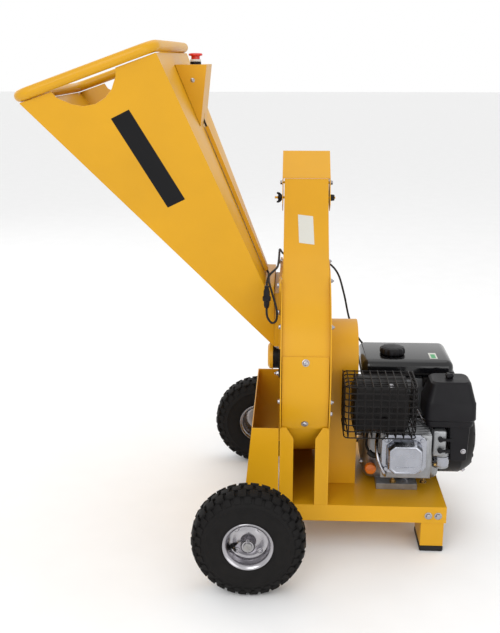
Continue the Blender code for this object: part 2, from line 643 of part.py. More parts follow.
def below_rim(point):
    """Point (x, z) of the sheet's edge under a point on the rim tube's centre line."""
    rise = Vector((MOUTH_LOW[1] - MOUTH_HIGH[1], MOUTH_HIGH[0] - MOUTH_LOW[0])).normalized()
    drop = RIM_TUBE + 0.0020
    return (point[0] - rise.x * drop, point[1] - rise.y * drop)


EDGE_LOW = below_rim(MOUTH_LOW)
EDGE_HIGH = below_rim(MOUTH_HIGH)


def hand_hold():
    """Points (x, z) of the notch under the rim tube, from its upper end to its lower end."""
    slope = (EDGE_HIGH[1] - EDGE_LOW[1]) / (EDGE_HIGH[0] - EDGE_LOW[0])
    ends = [AXLE_X - 0.2920, AXLE_X - 0.4340]
    on_edge = [(x, EDGE_LOW[1] + slope * (x - EDGE_LOW[0])) for x in ends]
    dip = [(-0.2930, 1.1690), (-0.3040, 1.1420), (-0.3200, 1.1230), (-0.3420, 1.1100),
           (-0.3690, 1.1050), (-0.3950, 1.1100), (-0.4240, 1.1235)]
    return [on_edge[0]] + [(AXLE_X + x, z) for x, z in dip] + [on_edge[1]]


def make_hopper():
    profile = [EDGE_LOW, (THROAT_X, THROAT_Z[0]), (THROAT_X, THROAT_Z[1]), (LEDGE_X, THROAT_Z[1]),
               EDGE_HIGH] + hand_hold()
    near = [(x, panel_y(x, z), z) for x, z in profile]
    far = [(x, far_y(y), z) for x, y, z in near]
    faces = [near, far[::-1]]
    for here, after in ((0, 1), (2, 3), (3, 4)):
        faces.append([near[here], far[here], far[after], near[after]])
    shell = sheet_shell("hopper_shell", faces, THIN_SHEET, YELLOW)
    cut(shell, box((THROAT_X, -0.2, 0.4), (THROAT_X + 0.02, 0.3, 0.8)))

    mouth = [(MOUTH_LOW, MOUTH_Y), (MOUTH_HIGH, MOUTH_Y), (MOUTH_HIGH, far_y(MOUTH_Y)),
             (MOUTH_LOW, far_y(MOUTH_Y))]
    corners = [Vector((x, y, z)) for (x, z), y in mouth]
    bend = 0.034
    path = []
    for count, corner in enumerate(corners):
        before = (corners[count - 1] - corner).normalized()
        after = (corners[(count + 1) % 4] - corner).normalized()
        centre = corner + (before + after) * bend
        for step in range(6):
            angle = radians(90) * step / 5
            path.append(centre - after * bend * cos(angle) - before * bend * sin(angle))
    cable("hopper_rim_tube", path, RIM_TUBE, YELLOW, 3, closed=True)

    half_top, half_low = 0.148, 0.104
    flange_x = (THROAT_X + GAP, HOUSING_X[0] - GAP)
    plate_x = (flange_x[1] - 0.005, flange_x[1])
    outline = [(LINE_Y - half_low, 0.4955), (LINE_Y + half_low, 0.4955),
               (LINE_Y + half_top, THROAT_Z[1] + 0.016), (LINE_Y - half_top, THROAT_Z[1] + 0.016)]
    flange = make_object("throat_flange", prism(outline, plate_x), YELLOW)
    neck = [(LINE_Y - 0.0865, 0.4970), (LINE_Y + 0.0865, 0.4970),
            (LINE_Y + 0.1165, 0.6450), (LINE_Y - 0.1165, 0.6450)]
    add(flange, prism(neck, (flange_x[0], flange_x[1] - 0.002)))
    bore = [(LINE_Y - 0.083, 0.5020), (LINE_Y + 0.083, 0.5020),
            (LINE_Y + 0.113, 0.6415), (LINE_Y - 0.113, 0.6415)]
    cut(flange, prism(bore, (flange_x[0] - 0.01, flange_x[1] + 0.01)))


def top_panel_x(z):
    """X of the hopper's upper panel at height z."""
    share = (z - THROAT_Z[1]) / (EDGE_HIGH[1] - THROAT_Z[1])
    return LEDGE_X + share * (EDGE_HIGH[0] - LEDGE_X)


STOP_BOX_TOP = 1.1915
STOP_X = AXLE_X - 0.1485
SLOPE = atan2(EDGE_HIGH[1] - THROAT_Z[1], LEDGE_X - EDGE_HIGH[0])


def over_panel(z, height):
    """Point (x, z) `height` above the outside of the upper panel, square to it at height z."""
    return (top_panel_x(z) + sin(SLOPE) * height, z + cos(SLOPE) * height)


def make_stop_switch():
    near, far = LINE_Y - 0.075, LINE_Y + 0.075
    clear = 0.0012
    bottom = 1.048
    left_top = (top_panel_x(STOP_BOX_TOP) + clear, STOP_BOX_TOP)
    right_top = (AXLE_X - 0.1150, STOP_BOX_TOP)
    low = (top_panel_x(bottom) + clear, bottom)
    triangle = [left_top, right_top, low]
    near_face = [(x, near, z) for x, z in triangle]
    far_face = [(x, far, z) for x, z in triangle]
    top = [near_face[0], near_face[1], far_face[1], far_face[0]]
    front = [near_face[1], near_face[2], far_face[2], far_face[1]]
    stop_box = sheet_shell("stop_switch_box", [near_face, far_face[::-1], top, front], 0.0015, YELLOW)
    behind = [(1.0, top_panel_x(1.0)), (1.2, top_panel_x(1.2)), (1.2, top_panel_x(1.2) - 0.03),
              (1.0, top_panel_x(1.0) - 0.03)]
    clear_panel = [(z, x + 0.0006) for z, x in behind]
    cut(stop_box, prism(clear_panel, (near - 0.01, far + 0.01), "Y"))
    spot = (STOP_X, LINE_Y)
    cut(stop_box, disc(0.0095, (STOP_BOX_TOP - 0.01, STOP_BOX_TOP + 0.01), "Z", spot, 20))

    base = STOP_BOX_TOP + GAP
    collar = [(0.0114, base), (0.0135, base), (0.0135, base + 0.0060), (0.0125, base + 0.0066),
              (0.0125, base + 0.0118), (0.0114, base + 0.0118)]
    make_object("stop_switch_collar", lathe(collar, place("Z", spot), "Z", 28), BLACK_PLASTIC)
    top_z = 1.2185
    button = [(0, base + 0.0070), (0.0108, base + 0.0070), (0.0108, top_z - 0.0070),
              (0.0165, top_z - 0.0065), (0.0170, top_z - 0.0035), (0.0140, top_z - 0.0008), (0, top_z)]
    make_object("stop_button", lathe(button, place("Z", spot), "Z", 28), RED, (*spot, base + 0.007))

    cable_slot = 0.0045
    cut(stop_box, box((STOP_X - 0.02, LINE_Y - cable_slot, bottom - 0.01),
                      (STOP_X + 0.04, LINE_Y + cable_slot, bottom + 0.026)))
    half = 0.008
    start, end = 1.040, THROAT_Z[1] + 0.012
    lift = 0.0018
    low_in, low_out = over_panel(end, lift), over_panel(end, lift + 0.0095)
    high_in, high_out = over_panel(start, lift), over_panel(start, lift + 0.0095)
    walls = []
    for y in (LINE_Y - half, LINE_Y + half):
        walls.append([(x, y, z) for x, z in (low_in, low_out, high_out, high_in)])
    roof = [walls[0][1], walls[0][2], walls[1][2], walls[1][1]]
    sheet_shell("cable_duct", [walls[0], walls[1][::-1], roof], 0.0012, YELLOW)


CONNECTOR = (AXLE_X + 0.0330, -0.1290)
CONNECTOR_Z = (0.6230, 0.6780)
CABLE_RADIUS = 0.0030


def make_stop_cable():
    """The stop switch's cable: duct, loop, connector, then over the drum to the engine."""
    x, y = CONNECTOR
    lower_end = (x, y, CONNECTOR_Z[0] - GAP)
    upper_end = (x, y, CONNECTOR_Z[1] + GAP)
    in_duct = [over_panel(z, 0.0055) for z in (1.110, 1.075, 1.045, 0.950, 0.850, 0.750, 0.700)]
    first = [(along, LINE_Y, z) for along, z in in_duct] + [
        (LEDGE_X + 0.0045, LINE_Y - 0.002, THROAT_Z[1] + 0.0085),
        (LEDGE_X + 0.0065, LINE_Y - 0.020, THROAT_Z[1] + 0.0080),
        (LEDGE_X + 0.0085, LINE_Y - 0.080, THROAT_Z[1] + 0.0085),
        (LEDGE_X + 0.0110, LINE_Y - 0.125, THROAT_Z[1] + 0.0085),
        (AXLE_X + 0.0430, -0.1090, 0.6640), (AXLE_X + 0.0520, -0.1230, 0.6380),
        (AXLE_X + 0.0580, -0.1290, 0.6130), (AXLE_X + 0.0560, -0.1300, 0.5900),
        (AXLE_X + 0.0450, -0.1300, 0.5850), (AXLE_X + 0.0350, -0.1290, 0.5990),
        (x, y, 0.6120), lower_end,
    ]
    cable("stop_cable_upper", smooth_route(first, 0.009), CABLE_RADIUS, BLACK_PLASTIC)
    low, high = CONNECTOR_Z
    plug = [(0, low), (0.0060, low), (0.0072, low + 0.004), (0.0072, low + 0.016), (0.0102, low + 0.018),
            (0.0102, low + 0.028), (0.0078, low + 0.030), (0.0078, high - 0.006), (0.0055, high), (0, high)]
    make_object("cable_connector", lathe(plug, place("Z", CONNECTOR), "Z", 16), BLACK_PLASTIC)
    second = [
        upper_end, (x + 0.001, y, 0.6910), (AXLE_X + 0.0400, y + 0.004, 0.7050),
        (AXLE_X + 0.0510, -0.1080, 0.7120), (AXLE_X + 0.0580, -0.0700, 0.7130),
        (AXLE_X + 0.0600, 0.0100, 0.7150), (AXLE_X + 0.0600, 0.1000, 0.7140),
        (AXLE_X + 0.0610, 0.1750, 0.7050), (AXLE_X + 0.0750, 0.2250, 0.6800),
        (AXLE_X + 0.1290, 0.2400, 0.6680), (AXLE_X + 0.1850, 0.2380, 0.6600),
        (AXLE_X + 0.2200, 0.2300, 0.6300), (AXLE_X + 0.2400, 0.2220, 0.5700),
        (AXLE_X + 0.2600, 0.2150, 0.4900), (AXLE_X + 0.3000, 0.2120, 0.4250),
        (AXLE_X + 0.3800, 0.2100, 0.3750), (AXLE_X + 0.4500, 0.2050, 0.3500),
        (AXLE_X + 0.5000, 0.1850, 0.3300), (AXLE_X + 0.5200, 0.1550, 0.3050),
        (AXLE_X + 0.5230, 0.1284, 0.2912),
    ]
    cable("stop_cable_lower", smooth_route(second, 0.012), CABLE_RADIUS, BLACK_PLASTIC)


# ---- engine -----------------------------------------------------------------------------------
def engine_box(name, x, y, z, look, bevel, segments=2):
    low, high = (AXLE_X + x[0], y[0], z[0]), (AXLE_X + x[1], y[1], z[1])
    return rounded(make_object(name, box(low, high), look), bevel, segments)


TANK_Z = (0.395, 0.4455)
LEVER_POST = (AXLE_X + 0.412, -0.004)
LEVER_Z = 0.346


def make_engine_block():
    crankcase = engine_box("crankcase", (0.285, 0.485), (-0.055, 0.145), (0.138, 0.308),
                           CAST_ALUMINIUM, 0.022, 3)
    settle(crankcase)
    add(crankcase, box((AXLE_X + 0.330, 0.020, 0.290), (AXLE_X + 0.470, 0.130, TANK_Z[0] - GAP)))
    add(crankcase, disc(0.008, (0.290, LEVER_Z - GAP), "Z", LEVER_POST, 16))
    foot = TRAY_Z[1] + GAP
    for y in ((-0.085, -0.025), (0.095, 0.155)):
        add(crankcase, box((AXLE_X + 0.319, y[0], foot), (AXLE_X + 0.425, y[1], foot + 0.016)))
    cut(crankcase, disc(CRANK_RADIUS + GAP, (ENGINE_X - 0.02, ENGINE_X + 0.016), "X", CRANK))

    fins, pitch = 7, 0.0130
    root_z, tip_z = (0.190, 0.275), (0.165, 0.300)
    start = -0.1500
    top, bottom = [], []
    for count in range(fins):
        y = start + count * pitch
        top += [(y, tip_z[1]), (y + 0.004, tip_z[1]), (y + 0.004, root_z[1]), (y + pitch, root_z[1])]
        bottom += [(y, tip_z[0]), (y + 0.004, tip_z[0]), (y + 0.004, root_z[0]), (y + pitch, root_z[0])]
    end = -0.055 - GAP
    outline = top[:-1] + [(end, root_z[1]), (end, root_z[0])] + bottom[:-1][::-1]
    make_object("cylinder_head", prism(outline, (AXLE_X + 0.323, AXLE_X + 0.448)), CAST_ALUMINIUM)
    engine_box("rocker_cover", (0.321, 0.433), (-0.199, -0.150 - GAP), (0.206, 0.309),
               CAST_ALUMINIUM, 0.012, 3)


def make_exhaust():
    engine_box("muffler", (0.247, 0.386), (-0.165, -0.064), (0.3150, 0.428), BLACK_PAINT, 0.016, 3)
    low = Vector((AXLE_X + 0.224, -0.190, 0.3103))
    high = Vector((AXLE_X + 0.402, -0.0585, 0.4445))
    cage = make_object("muffler_guard", box(low, high), BLACK_PAINT)
    wall = 0.004
    cut(cage, box(low + Vector((wall, wall, wall)), high + Vector((-wall, 0.01, -wall))))
    bar, columns, rows, deep = 0.006, 5, 4, 3
    pitch_x = (high.x - low.x - bar) / columns
    pitch_z = (high.z - low.z - bar) / rows
    pitch_y = (high.y - low.y - bar) / deep
    for column in range(columns):
        x = (low.x + bar + column * pitch_x, low.x + (column + 1) * pitch_x)
        for row in range(rows):
            z = (low.z + bar + row * pitch_z, low.z + (row + 1) * pitch_z)
            cut(cage, box((x[0], low.y - 0.01, z[0]), (x[1], low.y + 0.01, z[1])))
        for row in range(deep):
            y = (low.y + bar + row * pitch_y, low.y + (row + 1) * pitch_y)
            cut(cage, box((x[0], y[0], low.z - 0.01), (x[1], y[1], high.z + 0.01)))
    for row in range(rows):
        z = (low.z + bar + row * pitch_z, low.z + (row + 1) * pitch_z)
        for count in range(deep):
            y = (low.y + bar + count * pitch_y, low.y + (count + 1) * pitch_y)
            cut(cage, box((low.x - 0.01, y[0], z[0]), (high.x + 0.01, y[1], z[1])))


FUEL_CAP = (AXLE_X + 0.364, 0.074)


def make_fuel_and_air():
    engine_box("fuel_tank", (0.277, 0.522), (0.004, 0.192), TANK_Z, BLACK_PLASTIC, 0.020, 4)
    base = TANK_Z[1] + GAP
    cap = [(0, base), (0.026, base), (0.034, base + 0.003), (0.034, base + 0.013),
           (0.030, base + 0.018), (0, base + 0.020)]
    make_object("fuel_cap", lathe(cap, place("Z", FUEL_CAP), "Z", 28), BLACK_PLASTIC, (*FUEL_CAP, base))
    engine_box("air_cleaner_base", (0.4330, 0.5540), (-0.121, -0.020), (0.3095, 0.3310),
               BLACK_PLASTIC, 0.008, 2)
    engine_box("air_cleaner_cover", (0.4290, 0.5590), (-0.126, -0.016), (0.3310 + GAP, 0.4300),
               BLACK_PLASTIC, 0.014, 3)
    knob_top = 0.4300 + GAP
    knob = (AXLE_X + 0.492, -0.071)
    profile = [(0, knob_top), (0.010, knob_top), (0.012, knob_top + 0.004), (0.010, knob_top + 0.010),
               (0, knob_top + 0.012)]
    make_object("air_cleaner_knob", lathe(profile, place("Z", knob), "Z", 20), BLACK_PLASTIC,
                (*knob, knob_top))
    carburettor = engine_box("carburettor", (0.4520, 0.4860), (-0.128, -0.064), (0.238, 0.3085),
                             CAST_ALUMINIUM, 0.006, 2)
    settle(carburettor)
    add(carburettor, disc(0.021, (0.204, 0.245), "Z", (AXLE_X + 0.477, -0.104), 20))


def make_controls():
    dip = (AXLE_X + 0.304, 0.178)
    face = -0.055 - GAP
    profile = [(0, face - 0.026), (0.0125, face - 0.026), (0.0150, face - 0.022), (0.0150, face - 0.012),
               (0.0100, face - 0.010), (0.0100, face), (0, face)]
    make_object("oil_dipstick", lathe(profile, place("Y", dip), "Y", 20), ORANGE, (dip[0], face, dip[1]))

    x, y = LEVER_POST
    thick = 0.004
    lever = make_object("throttle_lever", disc(0.010, (LEVER_Z, LEVER_Z + thick), "Z", LEVER_POST, 16),
                        BLACK_PAINT, (x, y, LEVER_Z))
    inset = 0.0002
    add(lever, box((x - 0.004, y - 0.036, LEVER_Z + inset), (x + 0.004, y - 0.004, LEVER_Z + thick - inset)))
    add(lever, box((x - 0.008, y - 0.048, LEVER_Z + inset / 2), (x + 0.008, y - 0.034, LEVER_Z + 0.0105)))

    for name, height, length in (("choke_lever", 0.2880, 0.030), ("fuel_valve_lever", 0.2580, 0.024)):
        hub = (AXLE_X + 0.470, height)
        near = -0.128 - GAP
        arm = make_object(name, disc(0.0065, (near - 0.010, near), "Y", hub, 14), BLACK_PLASTIC,
                          (hub[0], near, height))
        add(arm, box((hub[0], near - 0.0098, height - 0.0045), (hub[0] + length, near - 0.0052, height + 0.0045)))


def make_starter():
    radius = 0.102
    fan_cover = [(0, FAN_X[1]), (0.052, FAN_X[1]), (0.060, FAN_X[1] - 0.006), (0.084, FAN_X[1] - 0.010),
                 (radius - 0.006, FAN_X[1] - 0.026), (radius, FAN_X[1] - 0.040), (radius, FAN_X[0]),
                 (radius - 0.003, FAN_X[0]), (radius - 0.003, FAN_X[1] - 0.041),
                 (0.080, FAN_X[1] - 0.014), (0, FAN_X[1] - 0.014)]
    cover = make_object("fan_cover", lathe(fan_cover, place("X", CRANK), "X", 40), BLACK_PAINT)
    settle(cover)
    x = AXLE_X + 0.548
    grip_foot = CRANK_Z + radius + 0.0010
    spot = (x, LINE_Y + 0.006)
    cut(cover, disc(0.0045, (CRANK_Z + 0.06, CRANK_Z + 0.12), "Z", spot, 12))
    grip = [(0, grip_foot - 0.030), (0.0018, grip_foot - 0.030), (0.0018, grip_foot + 0.001),
            (0.0070, grip_foot + 0.001), (0.0080, grip_foot + 0.012), (0.0065, grip_foot + 0.018), (0, grip_foot + 0.018)]
    handle = make_object("starter_handle", lathe(grip, place("Z", spot), "Z", 16), BLACK_PLASTIC,
                         (*spot, grip_foot))
    add(handle, box((x - 0.007, LINE_Y + 0.006 - 0.036, grip_foot + 0.012),
                    (x + 0.007, LINE_Y + 0.006 + 0.036, grip_foot + 0.024)))
    face_y = LINE_Y - sqrt(radius ** 2 - 0.03 ** 2)
    hub = (AXLE_X + 0.512, CRANK_Z + 0.030)
    switch = make_object("engine_switch", disc(0.0090, (face_y - 0.016, face_y - 0.004), "Y", hub, 16),
                         RED, (hub[0], face_y, hub[1]))
    add(switch, box((hub[0] - 0.0025, face_y - 0.026, hub[1] - 0.009),
                    (hub[0] + 0.0025, face_y - 0.015, hub[1] + 0.009)))


def build():
    clear_scene()
    make_wheel("near", -1)
    make_wheel("far", 1)
    make_axle()
    make_base()
    make_housing()
    make_chute()
    make_hood()
    make_clamps()
    make_rotor()
    make_bearings()
    make_drive()
    make_belt_guard()
    make_hopper()
    make_stop_switch()
    make_stop_cable()
    make_engine_block()
    make_exhaust()
    make_fuel_and_air()
    make_controls()
    make_starter()


build()
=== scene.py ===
"""Looks of the wood chipper: finishes, tyres, fasteners and engine detail round the CAD frame."""
import json
from math import cos, pi, radians, sin

import bmesh
import bpy
from mathutils import Matrix, Vector
from mathutils.bvhtree import BVHTree

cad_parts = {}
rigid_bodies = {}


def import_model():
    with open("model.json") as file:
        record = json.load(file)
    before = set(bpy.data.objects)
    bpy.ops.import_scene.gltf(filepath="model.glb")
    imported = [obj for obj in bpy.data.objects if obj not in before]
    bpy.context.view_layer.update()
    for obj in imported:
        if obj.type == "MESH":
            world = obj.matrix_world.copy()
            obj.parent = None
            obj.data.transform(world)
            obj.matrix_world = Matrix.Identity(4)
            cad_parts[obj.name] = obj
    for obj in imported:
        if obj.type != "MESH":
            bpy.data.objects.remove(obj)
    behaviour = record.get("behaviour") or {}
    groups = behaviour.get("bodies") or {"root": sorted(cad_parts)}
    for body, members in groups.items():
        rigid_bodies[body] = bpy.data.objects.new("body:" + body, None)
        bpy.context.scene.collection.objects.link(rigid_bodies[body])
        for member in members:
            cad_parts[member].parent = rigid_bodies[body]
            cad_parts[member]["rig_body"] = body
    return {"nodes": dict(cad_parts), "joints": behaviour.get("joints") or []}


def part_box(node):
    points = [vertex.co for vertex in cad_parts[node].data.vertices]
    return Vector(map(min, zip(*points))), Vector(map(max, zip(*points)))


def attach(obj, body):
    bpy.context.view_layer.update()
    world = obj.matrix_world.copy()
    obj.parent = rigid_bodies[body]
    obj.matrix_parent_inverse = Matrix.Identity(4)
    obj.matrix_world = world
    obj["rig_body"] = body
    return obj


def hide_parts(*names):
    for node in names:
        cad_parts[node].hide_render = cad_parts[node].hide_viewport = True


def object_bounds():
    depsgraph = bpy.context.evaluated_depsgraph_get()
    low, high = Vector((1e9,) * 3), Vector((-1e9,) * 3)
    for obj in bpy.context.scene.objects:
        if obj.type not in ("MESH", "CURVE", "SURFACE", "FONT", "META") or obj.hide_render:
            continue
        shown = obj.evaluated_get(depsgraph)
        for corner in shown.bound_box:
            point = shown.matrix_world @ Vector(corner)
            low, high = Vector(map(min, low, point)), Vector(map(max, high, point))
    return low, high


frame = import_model()
cad_low, cad_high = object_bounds()


# ---- places read from the CAD ----------------------------------------------------------------
def middle(node):
    low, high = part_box(node)
    return (low + high) / 2


AXLE = middle("axle")
SHAFT = middle("driven_pulley")
CRANK = middle("clutch_pulley")
FEED_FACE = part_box("side_plate_feed")[0].x
DRIVE_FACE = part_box("side_plate_drive")[1].x
TRAY_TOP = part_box("base_tray")[1].z
HALF_WIDTH = cad_high.y


# ---- materials ----------------------------------------------------------------------------------
def material(name, colour, roughness, metallic=0.0, mottle=0.08, mottle_scale=9.0, grain=0.1,
             grain_scale=700.0, stretch=(1, 1, 1), coat=0.0, dust=0.0, shine=0.5):
    """Procedural finish: large mottling in colour and roughness, fine grain as bump, dust low down."""
    made = bpy.data.materials.new(name)
    made.use_nodes = True
    tree = made.node_tree
    shader = tree.nodes["Principled BSDF"]
    shader.inputs["Metallic"].default_value = metallic
    shader.inputs["Specular IOR Level"].default_value = shine
    shader.inputs["Coat Weight"].default_value = coat
    shader.inputs["Coat Roughness"].default_value = 0.15
    place = tree.nodes.new("ShaderNodeTexCoord")
    scaled = tree.nodes.new("ShaderNodeMapping")
    scaled.inputs["Scale"].default_value = stretch
    tree.links.new(place.outputs["Object"], scaled.inputs["Vector"])

    broad = tree.nodes.new("ShaderNodeTexNoise")
    broad.inputs["Scale"].default_value = mottle_scale
    broad.inputs["Detail"].default_value = 6.0
    tree.links.new(scaled.outputs["Vector"], broad.inputs["Vector"])
    tones = tree.nodes.new("ShaderNodeValToRGB")
    tones.color_ramp.elements[0].position = 0.32
    tones.color_ramp.elements[1].position = 0.68
    dark = [max(0.0, channel * (1 - mottle)) for channel in colour]
    light = [min(1.0, channel * (1 + mottle)) for channel in colour]
    tones.color_ramp.elements[0].color = (*dark, 1)
    tones.color_ramp.elements[1].color = (*light, 1)
    tree.links.new(broad.outputs["Fac"], tones.inputs["Fac"])
    colour_out = tones.outputs["Color"]
    if dust:
        colour_out = dusted(tree, place, colour_out, dust)
    tree.links.new(colour_out, shader.inputs["Base Color"])

    gloss = tree.nodes.new("ShaderNodeMapRange")
    gloss.inputs["From Min"].default_value = 0.3
    gloss.inputs["From Max"].default_value = 0.7
    gloss.inputs["To Min"].default_value = max(0.03, roughness - 0.06)
    gloss.inputs["To Max"].default_value = min(1.0, roughness + 0.07)
    tree.links.new(broad.outputs["Fac"], gloss.inputs["Value"])
    tree.links.new(gloss.outputs["Result"], shader.inputs["Roughness"])

    fine = tree.nodes.new("ShaderNodeTexNoise")
    fine.inputs["Scale"].default_value = grain_scale
    fine.inputs["Detail"].default_value = 3.0
    tree.links.new(scaled.outputs["Vector"], fine.inputs["Vector"])
    bump = tree.nodes.new("ShaderNodeBump")
    bump.inputs["Strength"].default_value = grain
    bump.inputs["Distance"].default_value = 0.0005
    tree.links.new(fine.outputs["Fac"], bump.inputs["Height"])
    tree.links.new(bump.outputs["Normal"], shader.inputs["Normal"])
    return made


def dusted(tree, place, colour_out, amount):
    """Mix a pale dust over a colour in patches, most near the ground."""
    split = tree.nodes.new("ShaderNodeSeparateXYZ")
    tree.links.new(place.outputs["Object"], split.inputs["Vector"])
    height = tree.nodes.new("ShaderNodeMapRange")
    height.inputs["From Min"].default_value = 0.0
    height.inputs["From Max"].default_value = 0.30
    height.inputs["To Min"].default_value = amount
    height.inputs["To Max"].default_value = amount * 0.25
    tree.links.new(split.outputs["Z"], height.inputs["Value"])
    patches = tree.nodes.new("ShaderNodeTexNoise")
    patches.inputs["Scale"].default_value = 35.0
    patches.inputs["Detail"].default_value = 8.0
    tree.links.new(place.outputs["Object"], patches.inputs["Vector"])
    share = tree.nodes.new("ShaderNodeMath")
    share.operation = "MULTIPLY"
    tree.links.new(height.outputs["Result"], share.inputs[0])
    tree.links.new(patches.outputs["Fac"], share.inputs[1])
    mix = tree.nodes.new("ShaderNodeMix")
    mix.data_type = "RGBA"
    tree.links.new(share.outputs["Value"], mix.inputs["Factor"])
    tree.links.new(colour_out, mix.inputs["A"])
    mix.inputs["B"].default_value = (0.22, 0.19, 0.155, 1)
    return mix.outputs["Result"]


YELLOW = material("yellow_powder_coat", (0.60, 0.302, 0.006), 0.38, mottle=0.05, mottle_scale=5.0,
                  grain=0.10, grain_scale=420.0, coat=0.06, shine=0.28)
BLACK_PAINT = material("black_heat_paint", (0.008, 0.007, 0.007), 0.42, mottle=0.25,
                       mottle_scale=40.0, grain=0.18, grain_scale=900.0, shine=0.16)
GLOSS_BLACK = material("black_gloss_tank", (0.005, 0.005, 0.006), 0.14, mottle=0.2, grain=0.03,
                       grain_scale=250.0, coat=0.2, shine=0.4)
BLACK_PLASTIC = material("black_moulded_plastic", (0.008, 0.0075, 0.009), 0.40, mottle=0.15,
                         mottle_scale=30.0, grain=0.25, grain_scale=1500.0, shine=0.16)
TYRE = material("tyre_rubber", (0.0055, 0.005, 0.005), 0.62, mottle=0.3, mottle_scale=60.0,
                grain=0.35, grain_scale=650.0, dust=0.02, shine=0.14)
RUBBER = material("black_rubber", (0.010, 0.009, 0.009), 0.6, mottle=0.2, mottle_scale=50.0,
                  grain=0.3, grain_scale=800.0, dust=0.04, shine=0.25)
ZINC = material("bright_zinc", (0.40, 0.39, 0.41), 0.22, metallic=1.0, mottle=0.12,
                mottle_scale=26.0, grain=0.07, grain_scale=380.0)
STEEL = material("turned_steel", (0.34, 0.335, 0.33), 0.30, metallic=1.0, mottle=0.16,
                 mottle_scale=70.0, grain=0.16, grain_scale=500.0, stretch=(1, 6, 1))
CAST = material("cast_aluminium", (0.30, 0.305, 0.315), 0.42, metallic=0.9, mottle=0.16,
                mottle_scale=45.0, grain=0.45, grain_scale=480.0)
SATIN = material("die_cast_cover", (0.36, 0.37, 0.41), 0.26, metallic=1.0, mottle=0.08,
                 mottle_scale=30.0, grain=0.12, grain_scale=500.0)
RED = material("red_plastic", (0.60, 0.022, 0.014), 0.28, mottle=0.08, grain=0.06)
ORANGE = material("orange_plastic", (0.62, 0.15, 0.010), 0.34, mottle=0.06, grain=0.10)
BRASS = material("brass", (0.45, 0.29, 0.10), 0.30, metallic=1.0, mottle=0.15, mottle_scale=60.0)
GOLD_ZINC = material("yellow_zinc", (0.42, 0.29, 0.12), 0.30, metallic=1.0, mottle=0.2,
                     mottle_scale=60.0)
WHITE = material("white_plastic", (0.62, 0.62, 0.60), 0.38, mottle=0.03, grain=0.05)
BLACK_LABEL = material("black_film", (0.006, 0.006, 0.007), 0.35, mottle=0.12, grain=0.03,
                       shine=0.15)
PALE_LABEL = material("pale_film", (0.56, 0.57, 0.53), 0.40, mottle=0.03, grain=0.03)
GREEN_LABEL = material("green_film", (0.03, 0.30, 0.10), 0.40, mottle=0.05, grain=0.03)


# ---- mesh tools ---------------------------------------------------------------------------------
def publish(name, bm, look, body="chassis", stands_for=(), sharp=35, bevel=0.0, smooth=0):
    """Turn a bmesh in world metres into a shown piece that rides on a CAD body."""
    bmesh.ops.recalc_face_normals(bm, faces=bm.faces)
    mesh = bpy.data.meshes.new(name)
    bm.to_mesh(mesh)
    bm.free()
    mesh.shade_smooth()
    mesh.set_sharp_from_angle(angle=radians(sharp))
    mesh.materials.append(look)
    obj = bpy.data.objects.new(name, mesh)
    bpy.context.scene.collection.objects.link(obj)
    if bevel:
        rounding = obj.modifiers.new("rounding", "BEVEL")
        rounding.width = bevel
        rounding.segments = 2
        rounding.limit_method = "ANGLE"
        rounding.angle_limit = radians(40)
        rounding.harden_normals = True
    if smooth:
        surface = obj.modifiers.new("smooth", "SUBSURF")
        surface.levels = smooth
        surface.render_levels = smooth
    if stands_for:
        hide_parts(*stands_for)
    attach(obj, body)
    return obj


def body_of(node):
    return frame["nodes"][node]["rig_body"]


def refine(node, look, bevel=0.0007, sharp=35, smooth=0):
    """A CAD node with its flat triangles merged, its edges rounded and its curves shaded smooth."""
    bm = bmesh.new()
    bm.from_mesh(frame["nodes"][node].data)
    bmesh.ops.remove_doubles(bm, verts=bm.verts, dist=1e-5)
    if not smooth:
        bmesh.ops.dissolve_limit(bm, angle_limit=radians(0.5), verts=bm.verts, edges=bm.edges)
    return publish(node + "_finish", bm, look, body_of(node), (node,), sharp, bevel, smooth)


def axis_frame(centre, normal, spin=0.0):
    turn = Vector(normal).to_track_quat("Z", "Y").to_matrix().to_4x4()
    return Matrix.Translation(Vector(centre)) @ turn @ Matrix.Rotation(spin, 4, "Z")


def add_lathe(bm, profile, centre, normal, segments=24, closed=False, lobes=0, depth=0.0):
    """Turn (radius, height) points about `normal`; `lobes` ripples the radius by `depth`."""
    place = axis_frame(centre, normal)
    rings = []
    for radius, height in profile:
        if radius < 1e-7:
            rings.append([bm.verts.new(place @ Vector((0, 0, height)))] * segments)
            continue
        ring = []
        for step in range(segments):
            angle = 2 * pi * step / segments
            reach = radius - depth * (0.5 + 0.5 * cos(lobes * angle)) if lobes else radius
            ring.append(bm.verts.new(place @ Vector((reach * cos(angle), reach * sin(angle), height))))
        rings.append(ring)
    pairs = list(zip(rings, rings[1:]))
    if closed:
        pairs.append((rings[-1], rings[0]))
    for here, after in pairs:
        for step in range(segments):
            corners = [here[step - 1], here[step], after[step], after[step - 1]]
            unique = list(dict.fromkeys(corners))
            if len(unique) > 2:
                bm.faces.new(unique)


def add_block(bm, low, high, bevel=0.0, segments=2, turn=None):
    """A rectangular block with rounded edges, turned by a matrix about the origin if asked."""
    made = bmesh.ops.create_cube(bm, size=1.0)
    size = Vector(high) - Vector(low)
    centre = (Vector(high) + Vector(low)) / 2
    place = Matrix.Translation(centre) @ Matrix.Diagonal((*size, 1.0))
    bmesh.ops.transform(bm, matrix=place, verts=made["verts"])
    verts = made["verts"]
    if bevel:
        edges = list({edge for vert in verts for edge in vert.link_edges})
        rounded = bmesh.ops.bevel(bm, geom=edges, offset=bevel, segments=segments, profile=0.5,
                                  affect="EDGES")
        verts = list({vert for face in rounded["faces"] for vert in face.verts})
    if turn is not None:
        bmesh.ops.transform(bm, matrix=turn, verts=verts)
    return verts


